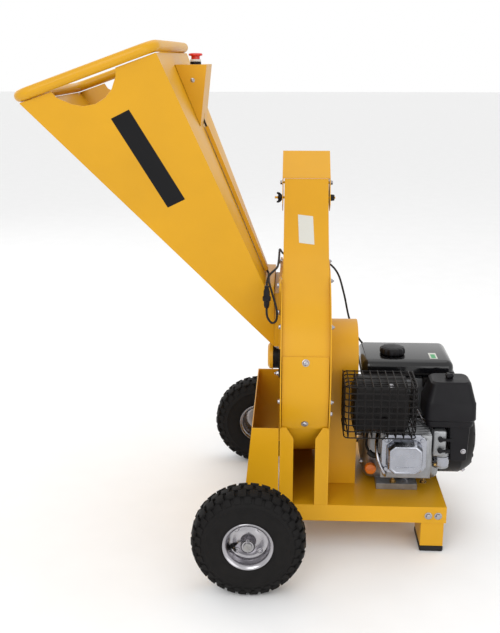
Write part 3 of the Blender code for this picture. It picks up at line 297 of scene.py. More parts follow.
def add_prism(bm, outline, place, depth):
    """Extrude a closed (u, v) outline along w by `depth`, set by the matrix `place`."""
    bottom = [bm.verts.new(place @ Vector((u, v, 0))) for u, v in outline]
    top = [bm.verts.new(place @ Vector((u, v, depth))) for u, v in outline]
    bm.faces.new(bottom[::-1])
    bm.faces.new(top)
    for step in range(len(outline)):
        bm.faces.new([bottom[step - 1], bottom[step], top[step], top[step - 1]])


def add_tube(bm, points, radius, sides=10, closed=False):
    """Sweep a round section along a polyline, with flat ends unless it is closed."""
    points = [Vector(point) for point in points]
    count = len(points)
    rings = []
    across = None
    for index, point in enumerate(points):
        before = points[index - 1] if closed or index else point
        after = points[(index + 1) % count] if closed or index < count - 1 else point
        along = (after - before).normalized()
        if across is None:
            across = along.orthogonal().normalized()
        across = (across - along * across.dot(along)).normalized()
        other = along.cross(across)
        turn = [2 * pi * step / sides for step in range(sides)]
        rings.append([bm.verts.new(point + radius * (across * cos(a) + other * sin(a))) for a in turn])
    pairs = list(zip(rings, rings[1:]))
    if closed:
        first, last = rings[0], rings[-1]
        shift = min(range(sides), key=lambda k: (first[k].co - last[0].co).length)
        pairs.append((last, first[shift:] + first[:shift]))
    else:
        bm.faces.new(rings[0][::-1])
        bm.faces.new(rings[-1])
    for here, after in pairs:
        for step in range(sides):
            bm.faces.new([here[step - 1], here[step], after[step], after[step - 1]])


def smooth_path(knots, steps=6):
    """Catmull-Rom curve through knots."""
    knots = [Vector(knot) for knot in knots]
    padded = [2 * knots[0] - knots[1]] + knots + [2 * knots[-1] - knots[-2]]
    path = [knots[0]]
    for p0, p1, p2, p3 in zip(padded, padded[1:], padded[2:], padded[3:]):
        for step in range(1, steps + 1):
            t = step / steps
            path.append(p1 + ((p2 - p0) * t + (2 * p0 - 5 * p1 + 4 * p2 - p3) * t * t
                              + (3 * p1 - p0 - 3 * p2 + p3) * t ** 3) / 2)
    return path


def add_hex_bolt(bm, centre, normal, size=0.0065, washer=True):
    """Hexagon head with a chamfered top on a round washer; `size` is the corner radius."""
    base = 0.0
    if washer:
        profile = [(size * 1.35, 0), (size * 1.35, 0.0010), (size * 1.2, 0.0013), (0, 0.0013)]
        add_lathe(bm, profile, centre, normal, 20)
        base = 0.0012
    tall = size * 0.8
    profile = [(size, base), (size, base + tall * 0.82), (size * 0.82, base + tall), (0, base + tall)]
    add_lathe(bm, profile, centre, normal, 6)


def add_dome_bolt(bm, centre, normal, size=0.0065):
    """Round head with a hexagon socket on a washer."""
    profile = [(size * 1.3, 0), (size * 1.3, 0.001), (size, 0.0012), (size * 0.97, size * 0.35),
               (size * 0.78, size * 0.62), (size * 0.5, size * 0.74), (size * 0.42, size * 0.74),
               (size * 0.38, size * 0.45), (0, size * 0.42)]
    add_lathe(bm, profile, centre, normal, 20)


def add_nut_on_stud(bm, centre, normal, size=0.0060, stud=0.008):
    add_hex_bolt(bm, centre, normal, size)
    thread = size * 0.5
    profile = [(thread, 0), (thread, size * 0.8 + stud - 0.001), (thread - 0.0008, size * 0.8 + stud),
               (0, size * 0.8 + stud)]
    add_lathe(bm, profile, centre, normal, 12)


def surface_point(node, start, direction):
    """Where a ray first meets a CAD node, and the outward normal there."""
    bm = bmesh.new()
    bm.from_mesh(frame["nodes"][node].data)
    tree = BVHTree.FromBMesh(bm)
    bm.free()
    hit, normal, _, _ = tree.ray_cast(Vector(start), Vector(direction))
    if normal.dot(Vector(direction)) > 0:
        normal = -normal
    return hit, normal


def add_film(bm, corners, node, direction, lift=0.0004, steps=8):
    """A thin sheet laid on a CAD node: four corners given as points in front of it."""
    source = bmesh.new()
    source.from_mesh(frame["nodes"][node].data)
    tree = BVHTree.FromBMesh(source)
    source.free()
    a, b, c, d = [Vector(corner) for corner in corners]
    grid = []
    for row in range(steps + 1):
        line = []
        for column in range(steps + 1):
            u, v = column / steps, row / steps
            start = a.lerp(b, u).lerp(d.lerp(c, u), v)
            hit, normal, _, _ = tree.ray_cast(start, Vector(direction))
            if normal.dot(Vector(direction)) > 0:
                normal = -normal
            line.append((bm.verts.new(hit + normal * lift), bm.verts.new(hit + normal * 0.00005)))
        grid.append(line)
    for row in range(steps):
        for column in range(steps):
            corners = [grid[row][column], grid[row][column + 1], grid[row + 1][column + 1],
                       grid[row + 1][column]]
            bm.faces.new([pair[0] for pair in corners])
            bm.faces.new([pair[1] for pair in corners][::-1])
    rim = ([grid[0][k] for k in range(steps)] + [grid[k][steps] for k in range(steps)]
           + [grid[steps][k] for k in range(steps, 0, -1)] + [grid[k][0] for k in range(steps, 0, -1)])
    for count, pair in enumerate(rim):
        before = rim[count - 1]
        bm.faces.new([before[0], pair[0], pair[1], before[1]])


# ---- wheels -------------------------------------------------------------------------------------
def make_wheel(side_name, side):
    tyre_low, tyre_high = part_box("tyre_" + side_name)
    centre = (tyre_low + tyre_high) / 2
    radius = (tyre_high.z - tyre_low.z) / 2
    half = (tyre_high.y - tyre_low.y) / 2
    outward = (0, side, 0)
    body = "wheel_" + side_name

    groove = radius - 0.0052
    bm = bmesh.new()
    flank = [(0.0518, half - 0.0095), (0.0535, half - 0.0070), (0.0570, half - 0.0045),
             (0.0605, half - 0.0040), (0.0615, half - 0.0030), (0.0640, half - 0.0028),
             (0.0650, half - 0.0020), (0.0740, half - 0.0008), (0.0860, half - 0.0002),
             (0.0960, half - 0.0010), (0.0970, half - 0.0006), (0.0990, half - 0.0008),
             (0.1000, half - 0.0020), (0.1090, half - 0.0050), (0.1170, half - 0.0105),
             (0.1235, half - 0.0185), (groove, half - 0.0270)]
    profile = flank + [(r, -h) for r, h in reversed(flank)]
    inside = [(0.0560, -half + 0.014), (0.1000, -half + 0.012), (0.1180, -0.015), (0.1180, 0.015),
              (0.1000, half - 0.012), (0.0560, half - 0.014)]
    add_lathe(bm, profile + inside, centre, outward, 112, closed=True)
    add_tread(bm, centre, radius, half, side)
    publish("tyre_%s_rubber" % side_name, bm, TYRE, body, ("tyre_" + side_name,), 30)

    bm = bmesh.new()
    rim = [(0.0107, 0.0357), (0.0165, 0.0357), (0.0170, 0.0350), (0.0170, 0.0110),
           (0.0185, 0.0092), (0.0300, 0.0075), (0.0345, 0.0052), (0.0420, 0.0052),
           (0.0460, 0.0068), (0.0476, 0.0100), (0.0478, 0.0290), (0.0490, 0.0335),
           (0.0525, 0.0372), (0.0560, 0.0402), (0.0580, 0.0405), (0.0590, 0.0396),
           (0.0590, 0.0384), (0.0572, 0.0380), (0.0516, 0.0335), (0.0514, -0.0335),
           (0.0572, -0.0380), (0.0590, -0.0384), (0.0590, -0.0396), (0.0580, -0.0405),
           (0.0560, -0.0402), (0.0525, -0.0372), (0.0490, -0.0335), (0.0478, -0.0290),
           (0.0476, 0.0030), (0.0460, 0.0018), (0.0345, 0.0012), (0.0185, 0.0040),
           (0.0170, 0.0020), (0.0170, -0.0290), (0.0165, -0.0297), (0.0107, -0.0297)]
    add_lathe(bm, rim, centre, outward, 96, closed=True)
    for count in range(4):
        angle = radians(45 + 90 * count)
        spot = centre + Vector((0.0385 * cos(angle), side * 0.0053, 0.0385 * sin(angle)))
        add_hex_bolt(bm, spot, outward, 0.0050)
    publish("rim_%s_pressing" % side_name, bm, ZINC, body, ("rim_" + side_name,), 40)

    bm = bmesh.new()
    seal = [(0.0107, 0.0358), (0.0112, 0.0372), (0.0150, 0.0372), (0.0160, 0.0366), (0.0162, 0.0358)]
    add_lathe(bm, seal, centre, outward, 40, closed=True)
    angle = radians(205)
    stem_foot = centre + Vector((0.0405 * cos(angle), side * 0.0060, 0.0405 * sin(angle)))
    lean = Vector((-0.35 * cos(angle), side, -0.35 * sin(angle))).normalized()
    profile = [(0.0058, 0), (0.0055, 0.0040), (0.0040, 0.0080), (0.0036, 0.0130), (0, 0.0130)]
    add_lathe(bm, profile, stem_foot, lean, 16)
    profile = [(0.0034, 0.0180), (0.0036, 0.0185), (0.0036, 0.0255), (0.0028, 0.0270), (0, 0.0270)]
    add_lathe(bm, profile, stem_foot, lean, 16, lobes=8, depth=0.0004)
    publish("hub_seal_and_valve_%s" % side_name, bm, RUBBER, body)
    bm = bmesh.new()
    profile = [(0.0028, 0.0130), (0.0028, 0.0185), (0, 0.0185)]
    add_lathe(bm, profile, stem_foot, lean, 14)
    publish("valve_brass_%s" % side_name, bm, BRASS, body)


def add_tread(bm, centre, radius, half, side):
    """Three rows of chamfered blocks: a middle row, and shoulder rows that run down the flanks."""
    count = 30
    for index in range(count):
        angle = 2 * pi * index / count
        spin = Matrix.Translation(centre) @ Matrix.Rotation(angle, 4, "Y")
        low, high = radius - 0.0075, radius - 0.0004
        add_block(bm, (-0.0104, -0.0098, low), (0.0104, 0.0098, high), 0.0012, 2, spin)
        half_spin = Matrix.Translation(centre) @ Matrix.Rotation(angle + pi / count, 4, "Y")
        for flank in (-1, 1):
            tilt = Matrix.Translation((0, flank * 0.0220, radius - 0.0062)) @ Matrix.Rotation(
                -flank * radians(20), 4, "X")
            add_block(bm, (-0.0098, -0.0098, -0.0042), (0.0098, 0.0094, 0.0044), 0.0012, 2,
                      half_spin @ tilt)
            lug = Matrix.Translation((0, flank * (half - 0.0095), radius - 0.0170)) @ Matrix.Rotation(
                -flank * radians(57), 4, "X")
            add_block(bm, (-0.0085, -0.0085, -0.0040), (0.0085, 0.0085, 0.0022), 0.0012, 2,
                      spin @ lug)


def make_running_gear():
    refine("axle", STEEL, 0.0012)
    for side in (-1, 1):
        bm = bmesh.new()
        end = Vector((AXLE.x, side * (HALF_WIDTH - 0.0050), AXLE.z))
        add_tube(bm, [end + Vector((0, 0, -0.0145)), end + Vector((0, 0, 0.0120))], 0.0016, 8)
        loop = [end + Vector((0.0030 * sin(a), 0, 0.0150 - 0.0030 * cos(a)))
                for a in [radians(20 + 32 * k) for k in range(11)]]
        add_tube(bm, loop, 0.0009, 8)
        washer = Vector((AXLE.x, side * (HALF_WIDTH - 0.0040), AXLE.z))
        profile = [(0.0104, -0.0008), (0.0140, -0.0008), (0.0140, -0.0030), (0.0104, -0.0030)]
        add_lathe(bm, profile, washer + Vector((0, -side * 0.0004, 0)), (0, side, 0), 32, closed=True)
        publish("axle_end_pin_%s" % ("near" if side < 0 else "far"), bm, ZINC)
    for node in ("axle_box", "base_tray", "support_leg_near", "support_leg_far"):
        refine(node, YELLOW, 0.0011)
    for node in ("foot_pad_near", "foot_pad_far"):
        refine(node, RUBBER, 0.0010)
    bm = bmesh.new()
    for name, side in (("near", -1), ("far", 1)):
        leg_low, leg_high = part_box("support_leg_" + name)
        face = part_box("base_tray")[0 if side < 0 else 1].y
        for share in (0.30, 0.72):
            x = leg_low.x + (leg_high.x - leg_low.x) * share
            add_hex_bolt(bm, (x, face, TRAY_TOP - 0.024), (0, side, 0), 0.0072)
    publish("base_bolts", bm, ZINC, bevel=0.0003)


# ---- housing, chute and hood --------------------------------------------------------------------
def make_housing():
    for node in ("side_plate_feed", "side_plate_drive", "drum_wrap", "access_cover",
                 "discharge_chute", "belt_guard", "throat_flange"):
        refine(node, YELLOW, 0.0007)
    refine("deflector_hood", YELLOW, 0.0005)
    refine("bearing_cap", YELLOW, 0.0006)
    bm = bmesh.new()
    add_block(bm, (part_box("side_plate_feed")[1].x + 0.0005, 0.168, TRAY_TOP + 0.0005),
              (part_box("side_plate_drive")[0].x - 0.0005, 0.171, 0.230), 0.0005)
    publish("base_web_sheet", bm, YELLOW)
    for node in ("bearing_feed", "bearing_drive"):
        refine(node, BLACK_PAINT, 0.0008)

    bm = bmesh.new()
    cover_low, cover_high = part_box("access_cover")
    mid_x = (cover_low.x + cover_high.x) / 2
    for z in (cover_high.z - 0.014, cover_low.z + 0.016):
        hit, normal = surface_point("access_cover", (mid_x, -0.5, z), (0, 1, 0))
        add_dome_bolt(bm, hit, normal, 0.0068)
    publish("cover_bolts", bm, ZINC)

    bm = bmesh.new()
    angles = (-8, 34, 66, 100, 140, 180, 215)
    for degrees in angles:
        angle = radians(degrees)
        y = SHAFT.y - 0.2515 * cos(angle)
        z = SHAFT.z + 0.2515 * sin(angle)
        if z < TRAY_TOP + 0.20:
            continue
        add_nut_on_stud(bm, (DRIVE_FACE, y, z), (1, 0, 0), 0.0048, 0.004)
        add_hex_bolt(bm, (FEED_FACE, y, z), (-1, 0, 0), 0.0050)
    publish("rim_fasteners", bm, ZINC, bevel=0.0003)

    bm = bmesh.new()
    for node, side in (("bearing_feed", -1), ("bearing_drive", 1)):
        low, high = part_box(node)
        face = low.x if side < 0 else high.x
        plate = face - side * 0.0150
        for dy in (-0.037, 0.037):
            for dz in (-0.037, 0.037):
                add_nut_on_stud(bm, (plate, SHAFT.y + dy, SHAFT.z + dz), (side, 0, 0), 0.0062, 0.006)
    flange_low, flange_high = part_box("throat_flange")
    for y, z in ((flange_low.y + 0.012, flange_high.z - 0.010),
                 (flange_high.y - 0.012, flange_high.z - 0.010),
                 (flange_low.y + 0.020, 0.600), (flange_high.y - 0.020, 0.600)):
        add_hex_bolt(bm, (flange_high.x - 0.005, y, z), (-1, 0, 0), 0.0060)
    publish("bearing_and_flange_bolts", bm, ZINC, bevel=0.0003)

    wing_nut_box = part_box("wing_nut")
    clamp = middle("wing_nut")
    hood_low, hood_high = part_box("deflector_hood")
    joint = [j for j in frame["joints"] if j["name"] == "hood_tilt"][0]
    pivot = Vector(joint["pos_m"])
    bm = bmesh.new()
    for face, side in ((hood_low.x, -1), (hood_high.x, 1)):
        add_hex_bolt(bm, (face + side * 0.0003, pivot.y, pivot.z), (side, 0, 0), 0.0058)
    publish("hinge_bolts", bm, ZINC, bevel=0.0003)
    make_wing_nut(clamp, wing_nut_box)
    make_clamp_knob()

    bm = bmesh.new()
    guard_low, guard_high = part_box("belt_guard")
    for y in (guard_low.y + 0.02, guard_high.y - 0.02):
        add_hex_bolt(bm, (DRIVE_FACE + 0.0335, y, TRAY_TOP + 0.0004), (0, 0, 1), 0.0045, False)
    side_hit, side_normal = surface_point("side_plate_drive", (DRIVE_FACE + 0.2, -0.19, 0.375), (-1, 0, 0))
    add_hex_bolt(bm, side_hit, side_normal, 0.0056)
    publish("guard_screws", bm, ZINC, bevel=0.0003)

    bm = bmesh.new()
    label = [(0.078, -1, 0.815), (0.117, -1, 0.811), (0.1205, -1, 0.748), (0.0815, -1, 0.752)]
    add_film(bm, label, "discharge_chute", (0, 1, 0))
    publish("blank_chute_label", bm, PALE_LABEL)


def make_wing_nut(clamp, nut_box):
    _, high = nut_box
    bm = bmesh.new()
    face = high.x
    profile = [(0.0034, 0), (0.0080, 0), (0.0082, 0.0012), (0.0068, 0.0075), (0.0058, 0.0105),
               (0.0050, 0.0112), (0.0034, 0.0112)]
    add_lathe(bm, profile, (face, clamp.y, clamp.z), (-1, 0, 0), 28, closed=True)
    for side in (-1, 1):
        wing = [(0.0045, 0.0025), (0.0085, 0.0020), (0.0122, 0.0052), (0.0142, 0.0105),
                (0.0136, 0.0138), (0.0118, 0.0148), (0.0098, 0.0138), (0.0078, 0.0108), (0.0045, 0.0100)]
        place = Matrix(((0, -1, 0, face), (0, 0, 1, clamp.y - 0.0018), (side, 0, 0, clamp.z),
                        (0, 0, 0, 1)))
        add_prism(bm, wing, place, 0.0036)
    publish("wing_nut_moulding", bm, BLACK_PLASTIC, "hood_wing_nut", ("wing_nut",), 40, 0.0007)


def make_clamp_knob():
    low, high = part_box("clamp_nut")
    centre = (low + high) / 2
    bm = bmesh.new()
    tall = high.x - low.x
    profile = [(0.0034, 0), (0.0086, 0), (0.0088, tall * 0.25), (0.0080, tall * 0.85),
               (0.0070, tall), (0.0034, tall)]
    add_lathe(bm, profile, (low.x, centre.y, centre.z), (1, 0, 0), 48, closed=True, lobes=6, depth=0.0012)
    publish("clamp_knob", bm, BLACK_PLASTIC, "hood_clamp_nut", ("clamp_nut",), 40)


def make_rotor():
    for node in ("chipper_disc", "knife_1", "knife_2", "rotor_shaft", "driven_pulley",
                 "clutch_pulley", "engine_crankshaft", "bed_knife"):
        refine(node, STEEL, 0.0006)
    refine("drive_belt", RUBBER, 0.0008)


# ---- hopper -------------------------------------------------------------------------------------
def make_hopper():
    refine("hopper_shell", YELLOW, 0.0006)
    refine("stop_switch_box", YELLOW, 0.0005)
    refine("cable_duct", YELLOW, 0.0004)
    refine("hopper_rim_tube", YELLOW, 0.0, 60, 2)
    for node in ("stop_cable_upper", "stop_cable_lower"):
        refine(node, RUBBER, 0.0, 60, 1)

    bm = bmesh.new()
    shift = AXLE.x
    label = [(-0.270 + shift, -1, 1.098), (-0.311 + shift, -1, 1.078), (-0.198 + shift, -1, 0.871),
             (-0.157 + shift, -1, 0.891)]
    add_film(bm, label, "hopper_shell", (0, 1, 0))
    publish("blank_hopper_label", bm, BLACK_LABEL)

    plug = middle("cable_connector")
    low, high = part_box("cable_connector")
    bm = bmesh.new()
    tall = high.z - low.z
    profile = [(0, 0), (0.0046, 0), (0.0058, 0.002), (0.0064, 0.005), (0.0070, 0.006),
               (0.0070, 0.016), (0.0084, 0.017), (0.0100, 0.0185), (0.0102, 0.0275), (0.0088, 0.0290),
               (0.0078, 0.0300), (0.0078, 0.0420), (0.0066, 0.0440), (0.0066, 0.0460),
               (0.0056, 0.0470), (0.0054, tall - 0.001), (0.0046, tall), (0, tall)]
    add_lathe(bm, profile, (plug.x, plug.y, low.z), (0, 0, 1), 36, lobes=18, depth=0.0005)
    publish("cable_connector_moulding", bm, BLACK_PLASTIC, "chassis", ("cable_connector",), 40)
    make_stop_switch()


def make_stop_switch():
    low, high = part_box("stop_button")
    spot = (low + high) / 2
    bm = bmesh.new()
    tall = high.z - low.z
    profile = [(0, 0), (0.0106, 0), (0.0106, tall - 0.0078), (0.0120, tall - 0.0072),
               (0.0160, tall - 0.0066), (0.0169, tall - 0.0052), (0.0170, tall - 0.0034),
               (0.0162, tall - 0.0018), (0.0146, tall - 0.0010), (0.0090, tall - 0.0003), (0, tall)]
    add_lathe(bm, profile, (spot.x, spot.y, low.z), (0, 0, 1), 48)
    publish("stop_button_cap", bm, RED, "stop_push_button", ("stop_button",), 45)
    low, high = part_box("stop_switch_collar")
    bm = bmesh.new()
    tall = high.z - low.z
    profile = [(0.0115, 0), (0.0134, 0), (0.0135, 0.0010), (0.0135, 0.0052), (0.0127, 0.0064),
               (0.0115, 0.0064)]
    add_lathe(bm, profile, (spot.x, spot.y, low.z), (0, 0, 1), 48, closed=True, lobes=24, depth=0.0004)
    publish("stop_collar_ring", bm, BLACK_PLASTIC, "chassis", ("stop_switch_collar",), 40)
    bm = bmesh.new()
    profile = [(0.0115, 0.0066), (0.0132, 0.0066), (0.0134, 0.0078), (0.0134, 0.0104),
               (0.0128, tall), (0.0115, tall)]
    add_lathe(bm, profile, (spot.x, spot.y, low.z), (0, 0, 1), 48, closed=True)
    publish("stop_white_ring", bm, WHITE)
    low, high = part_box("stop_switch_box")
    bm = bmesh.new()
    for y, side in ((low.y, -1), (high.y, 1)):
        add_dome_bolt(bm, ((low.x + high.x) / 2 + 0.004, y, high.z - 0.036), (0, side, 0), 0.0040)
    publish("switch_box_screws", bm, ZINC)


# ---- engine -------------------------------------------------------------------------------------
def make_block():
    refine("crankcase", CAST, 0.0010)
    make_head()
    low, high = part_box("rocker_cover")
    mid = (low + high) / 2
    half_x, half_z = (high.x - low.x) / 2, (high.z - low.z) / 2
    bm = bmesh.new()
    levels = [(1.00, 0.0), (1.00, 0.0070), (0.97, 0.0085), (0.80, 0.0090), (0.765, 0.0110),
              (0.745, 0.0400), (0.70, 0.0465), (0.64, 0.0480), (0.60, 0.0470), (0.56, 0.0468)]
    loops = []
    for share, lift in levels:
        corner = 0.30 if share > 0.9 else 0.34
        loops.append(octagon_loop(bm, mid, half_x * share, half_z * share, high.y - lift, corner))
    for here, after in zip(loops, loops[1:]):
        for step in range(len(here)):
            bm.faces.new([here[step - 1], here[step], after[step], after[step - 1]])
    bm.faces.new(loops[-1])
    bm.faces.new(loops[0][::-1])
    publish("rocker_cover_casting", bm, SATIN, "chassis", ("rocker_cover",), 30, 0.0009)
    bm = bmesh.new()
    add_block(bm, (mid.x - 0.024, low.y + 0.0005, mid.z - 0.020),
              (mid.x + 0.024, low.y + 0.004, mid.z - 0.017), 0.0007)
    for dx, dz in ((-0.044, -0.038), (0.044, -0.038), (-0.044, 0.038), (0.044, 0.038)):
        add_hex_bolt(bm, (mid.x + dx, high.y - 0.0075, mid.z + dz), (0, -1, 0), 0.0058)
    publish("rocker_cover_bolts", bm, SATIN, bevel=0.0003)

    case_low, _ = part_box("crankcase")
    bm = bmesh.new()
    for y in (-0.071, 0.141):
        for dx in (0.078, 0.156):
            add_nut_on_stud(bm, (case_low.x + dx, y, TRAY_TOP + 0.0164), (0, 0, 1), 0.0070, 0.006)
    publish("engine_foot_bolts", bm, GOLD_ZINC, bevel=0.0003)
    bm = bmesh.new()
    add_hex_bolt(bm, (case_low.x + 0.110, -0.0555, 0.150), (0, -1, 0), 0.0080)
    for dy, dz in ((-0.07, 0.045), (0.07, 0.045), (-0.07, -0.055), (0.07, -0.055), (0.0, 0.062)):
        add_hex_bolt(bm, (case_low.x, CRANK.y + dy, CRANK.z + dz), (-1, 0, 0), 0.0058)
    publish("crankcase_bolts", bm, ZINC, bevel=0.0003)

    bm = bmesh.new()
    head_low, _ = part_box("cylinder_head")
    boot = [(head_low.x - 0.003, -0.118, 0.235), (head_low.x - 0.020, -0.122, 0.238),
            (head_low.x - 0.030, -0.118, 0.246)]
    add_tube(bm, smooth_path(boot, 4), 0.0075, 16)
    lead = [(head_low.x - 0.030, -0.118, 0.246), (head_low.x - 0.034, -0.095, 0.262),
            (head_low.x - 0.018, -0.070, 0.300), (head_low.x + 0.060, -0.052, 0.3115),
            (head_low.x + 0.130, -0.045, 0.3120), (head_low.x + 0.165, -0.035, 0.300)]
    add_tube(bm, smooth_path(lead, 8), 0.0033, 12)
    publish("spark_plug_boot_and_lead", bm, RUBBER, sharp=60)
    bm = bmesh.new()
    pipe = [(head_low.x - 0.006, -0.092, 0.292), (head_low.x - 0.012, -0.135, 0.268),
            (head_low.x - 0.008, -0.160, 0.240), (head_low.x + 0.004, -0.166, 0.212),
            (head_low.x + 0.010, -0.150, 0.196)]
    add_tube(bm, smooth_path(pipe, 6), 0.0042, 14)
    publish("breather_pipe", bm, ZINC, sharp=60)


def make_head():
    """Finned head: a core with thin rounded fins square to Y."""
    low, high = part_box("cylinder_head")
    bm = bmesh.new()
    inset = Vector((0.012, 0, 0.030))
    add_block(bm, low + inset, high - inset, 0.004)
    fins = 9
    pitch = (high.y - low.y - 0.008) / (fins - 1)
    for count in range(fins):
        y = low.y + 0.004 + count * pitch
        shrink = 0.008 if count == 0 else 0.0
        add_block(bm, (low.x + shrink, y - 0.0013, low.z + 0.018 + shrink),
                  (high.x - shrink, y + 0.0013, high.z - shrink), 0.0009)
    publish("cylinder_head_fins", bm, CAST, "chassis", ("cylinder_head",), 35)


def octagon_loop(bm, mid, half_x, half_z, y, corner):
    """Rectangle with its corners cut and slightly rounded, in the plane across Y."""
    cut_x, cut_z = half_x * corner, half_z * corner
    points = []
    for sx, sz, start in ((1, 1, 0), (-1, 1, 1), (-1, -1, 0), (1, -1, 1)):
        pair = [(sx * half_x, sz * (half_z - cut_z)), (sx * (half_x - cut_x), sz * half_z)]
        points += pair[::-1] if start else pair
    return [bm.verts.new((mid.x + x, y, mid.z + z)) for x, z in points]


def make_exhaust():
    """Muffler box with a slanted heat shield over its top and front, a louvre row and an outlet."""
    low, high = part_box("muffler")
    mid = (low + high) / 2
    refine("muffler", BLACK_PAINT, 0.0)
    bm = bmesh.new()
    fold = high.z - 0.036
    outline = [(low.y - 0.0050, fold - 0.030), (low.y - 0.0030, fold), (low.y + 0.030, high.z + 0.0065),
               (high.y - 0.010, high.z + 0.0065), (high.y - 0.010, high.z + 0.0050),
               (low.y + 0.0305, high.z + 0.0050), (low.y - 0.0016, fold), (low.y - 0.0036, fold - 0.030)]
    place = Matrix(((0, 0, 1, low.x + 0.004), (1, 0, 0, 0), (0, 1, 0, 0), (0, 0, 0, 1)))
    add_prism(bm, outline, place, high.x - low.x - 0.008)
    slots = 8
    for count in range(slots):
        x = low.x + 0.020 + count * (high.x - low.x - 0.040) / (slots - 1)
        louvre = axis_frame((x, low.y - 0.0040, fold - 0.014), (0, -1, 0))
        hood = [(0.0050 * cos(a), 0.0075 * sin(a)) for a in [2 * pi * k / 16 for k in range(16)]]
        add_prism(bm, hood, louvre, 0.0032)
    flange = [(0.0190 * cos(a), 0.0125 * sin(a)) for a in [2 * pi * k / 28 for k in range(28)]]
    add_prism(bm, flange, axis_frame((mid.x + 0.008, low.y + 0.004, low.z + 0.038), (0, -1, 0)), 0.0075)
    add_tube(bm, [(mid.x + 0.008, low.y, low.z + 0.038),
                  (mid.x + 0.008, low.y - 0.0105, low.z + 0.036)], 0.0085, 20)
    publish("muffler_shield", bm, BLACK_PAINT, bevel=0.0006)
    bm = bmesh.new()
    slope = Vector((0, -(high.z + 0.0065 - fold), 0.033)).normalized()
    for dx, share in ((-0.016, 0.42), (0.024, 0.86)):
        spot = Vector((mid.x + dx, low.y - 0.0030 + 0.033 * share, fold + 0.0425 * share))
        add_dome_bolt(bm, spot, slope, 0.0056)
    for dx in (-0.018, 0.034):
        add_dome_bolt(bm, (mid.x + dx, low.y - 0.0002, low.z + 0.052), (0, -1, 0), 0.0048)
    publish("muffler_bolts", bm, ZINC)
    make_muffler_cage()


def make_muffler_cage():
    """Wire guard: a grid of round wires on five sides of the muffler."""
    low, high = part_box("muffler_guard")
    wire = 0.0016
    low, high = low + Vector((wire, wire, wire)), high - Vector((wire, 0.004, wire))
    bm = bmesh.new()
    rows = 9
    for count in range(rows):
        z = low.z + (high.z - low.z) * count / (rows - 1)
        path = rounded_path([(low.x, high.y, z), (low.x, low.y, z),
                             (high.x, low.y, z), (high.x, high.y, z)], 0.014)
        add_tube(bm, path, wire, 8)
    columns = 9
    for count in range(columns):
        x = low.x + 0.010 + (high.x - low.x - 0.020) * count / (columns - 1)
        path = rounded_path([(x, high.y, high.z), (x, low.y, high.z),
                             (x, low.y, low.z), (x, high.y, low.z)], 0.010)
        add_tube(bm, path, wire, 8)
    for count in range(5):
        y = low.y + 0.014 + (high.y - low.y - 0.018) * count / 4
        path = rounded_path([(low.x, y, low.z + 0.012), (low.x, y, high.z), (high.x, y, high.z),
                             (high.x, y, low.z + 0.012)], 0.010)
        add_tube(bm, path, wire, 8)
    publish("muffler_wire_guard", bm, BLACK_PAINT, "chassis", ("muffler_guard",), 60)


def rounded_path(corners, radius, steps=4):
    """Polyline with its inner corners rounded."""
    corners = [Vector(corner) for corner in corners]
    path = [corners[0]]
    for before, corner, after in zip(corners, corners[1:], corners[2:]):
        start = corner + (before - corner).normalized() * radius
        end = corner + (after - corner).normalized() * radius
        for step in range(steps + 1):
            t = step / steps
            path.append(start * (1 - t) ** 2 + corner * 2 * t * (1 - t) + end * t ** 2)
    path.append(corners[-1])
    return path


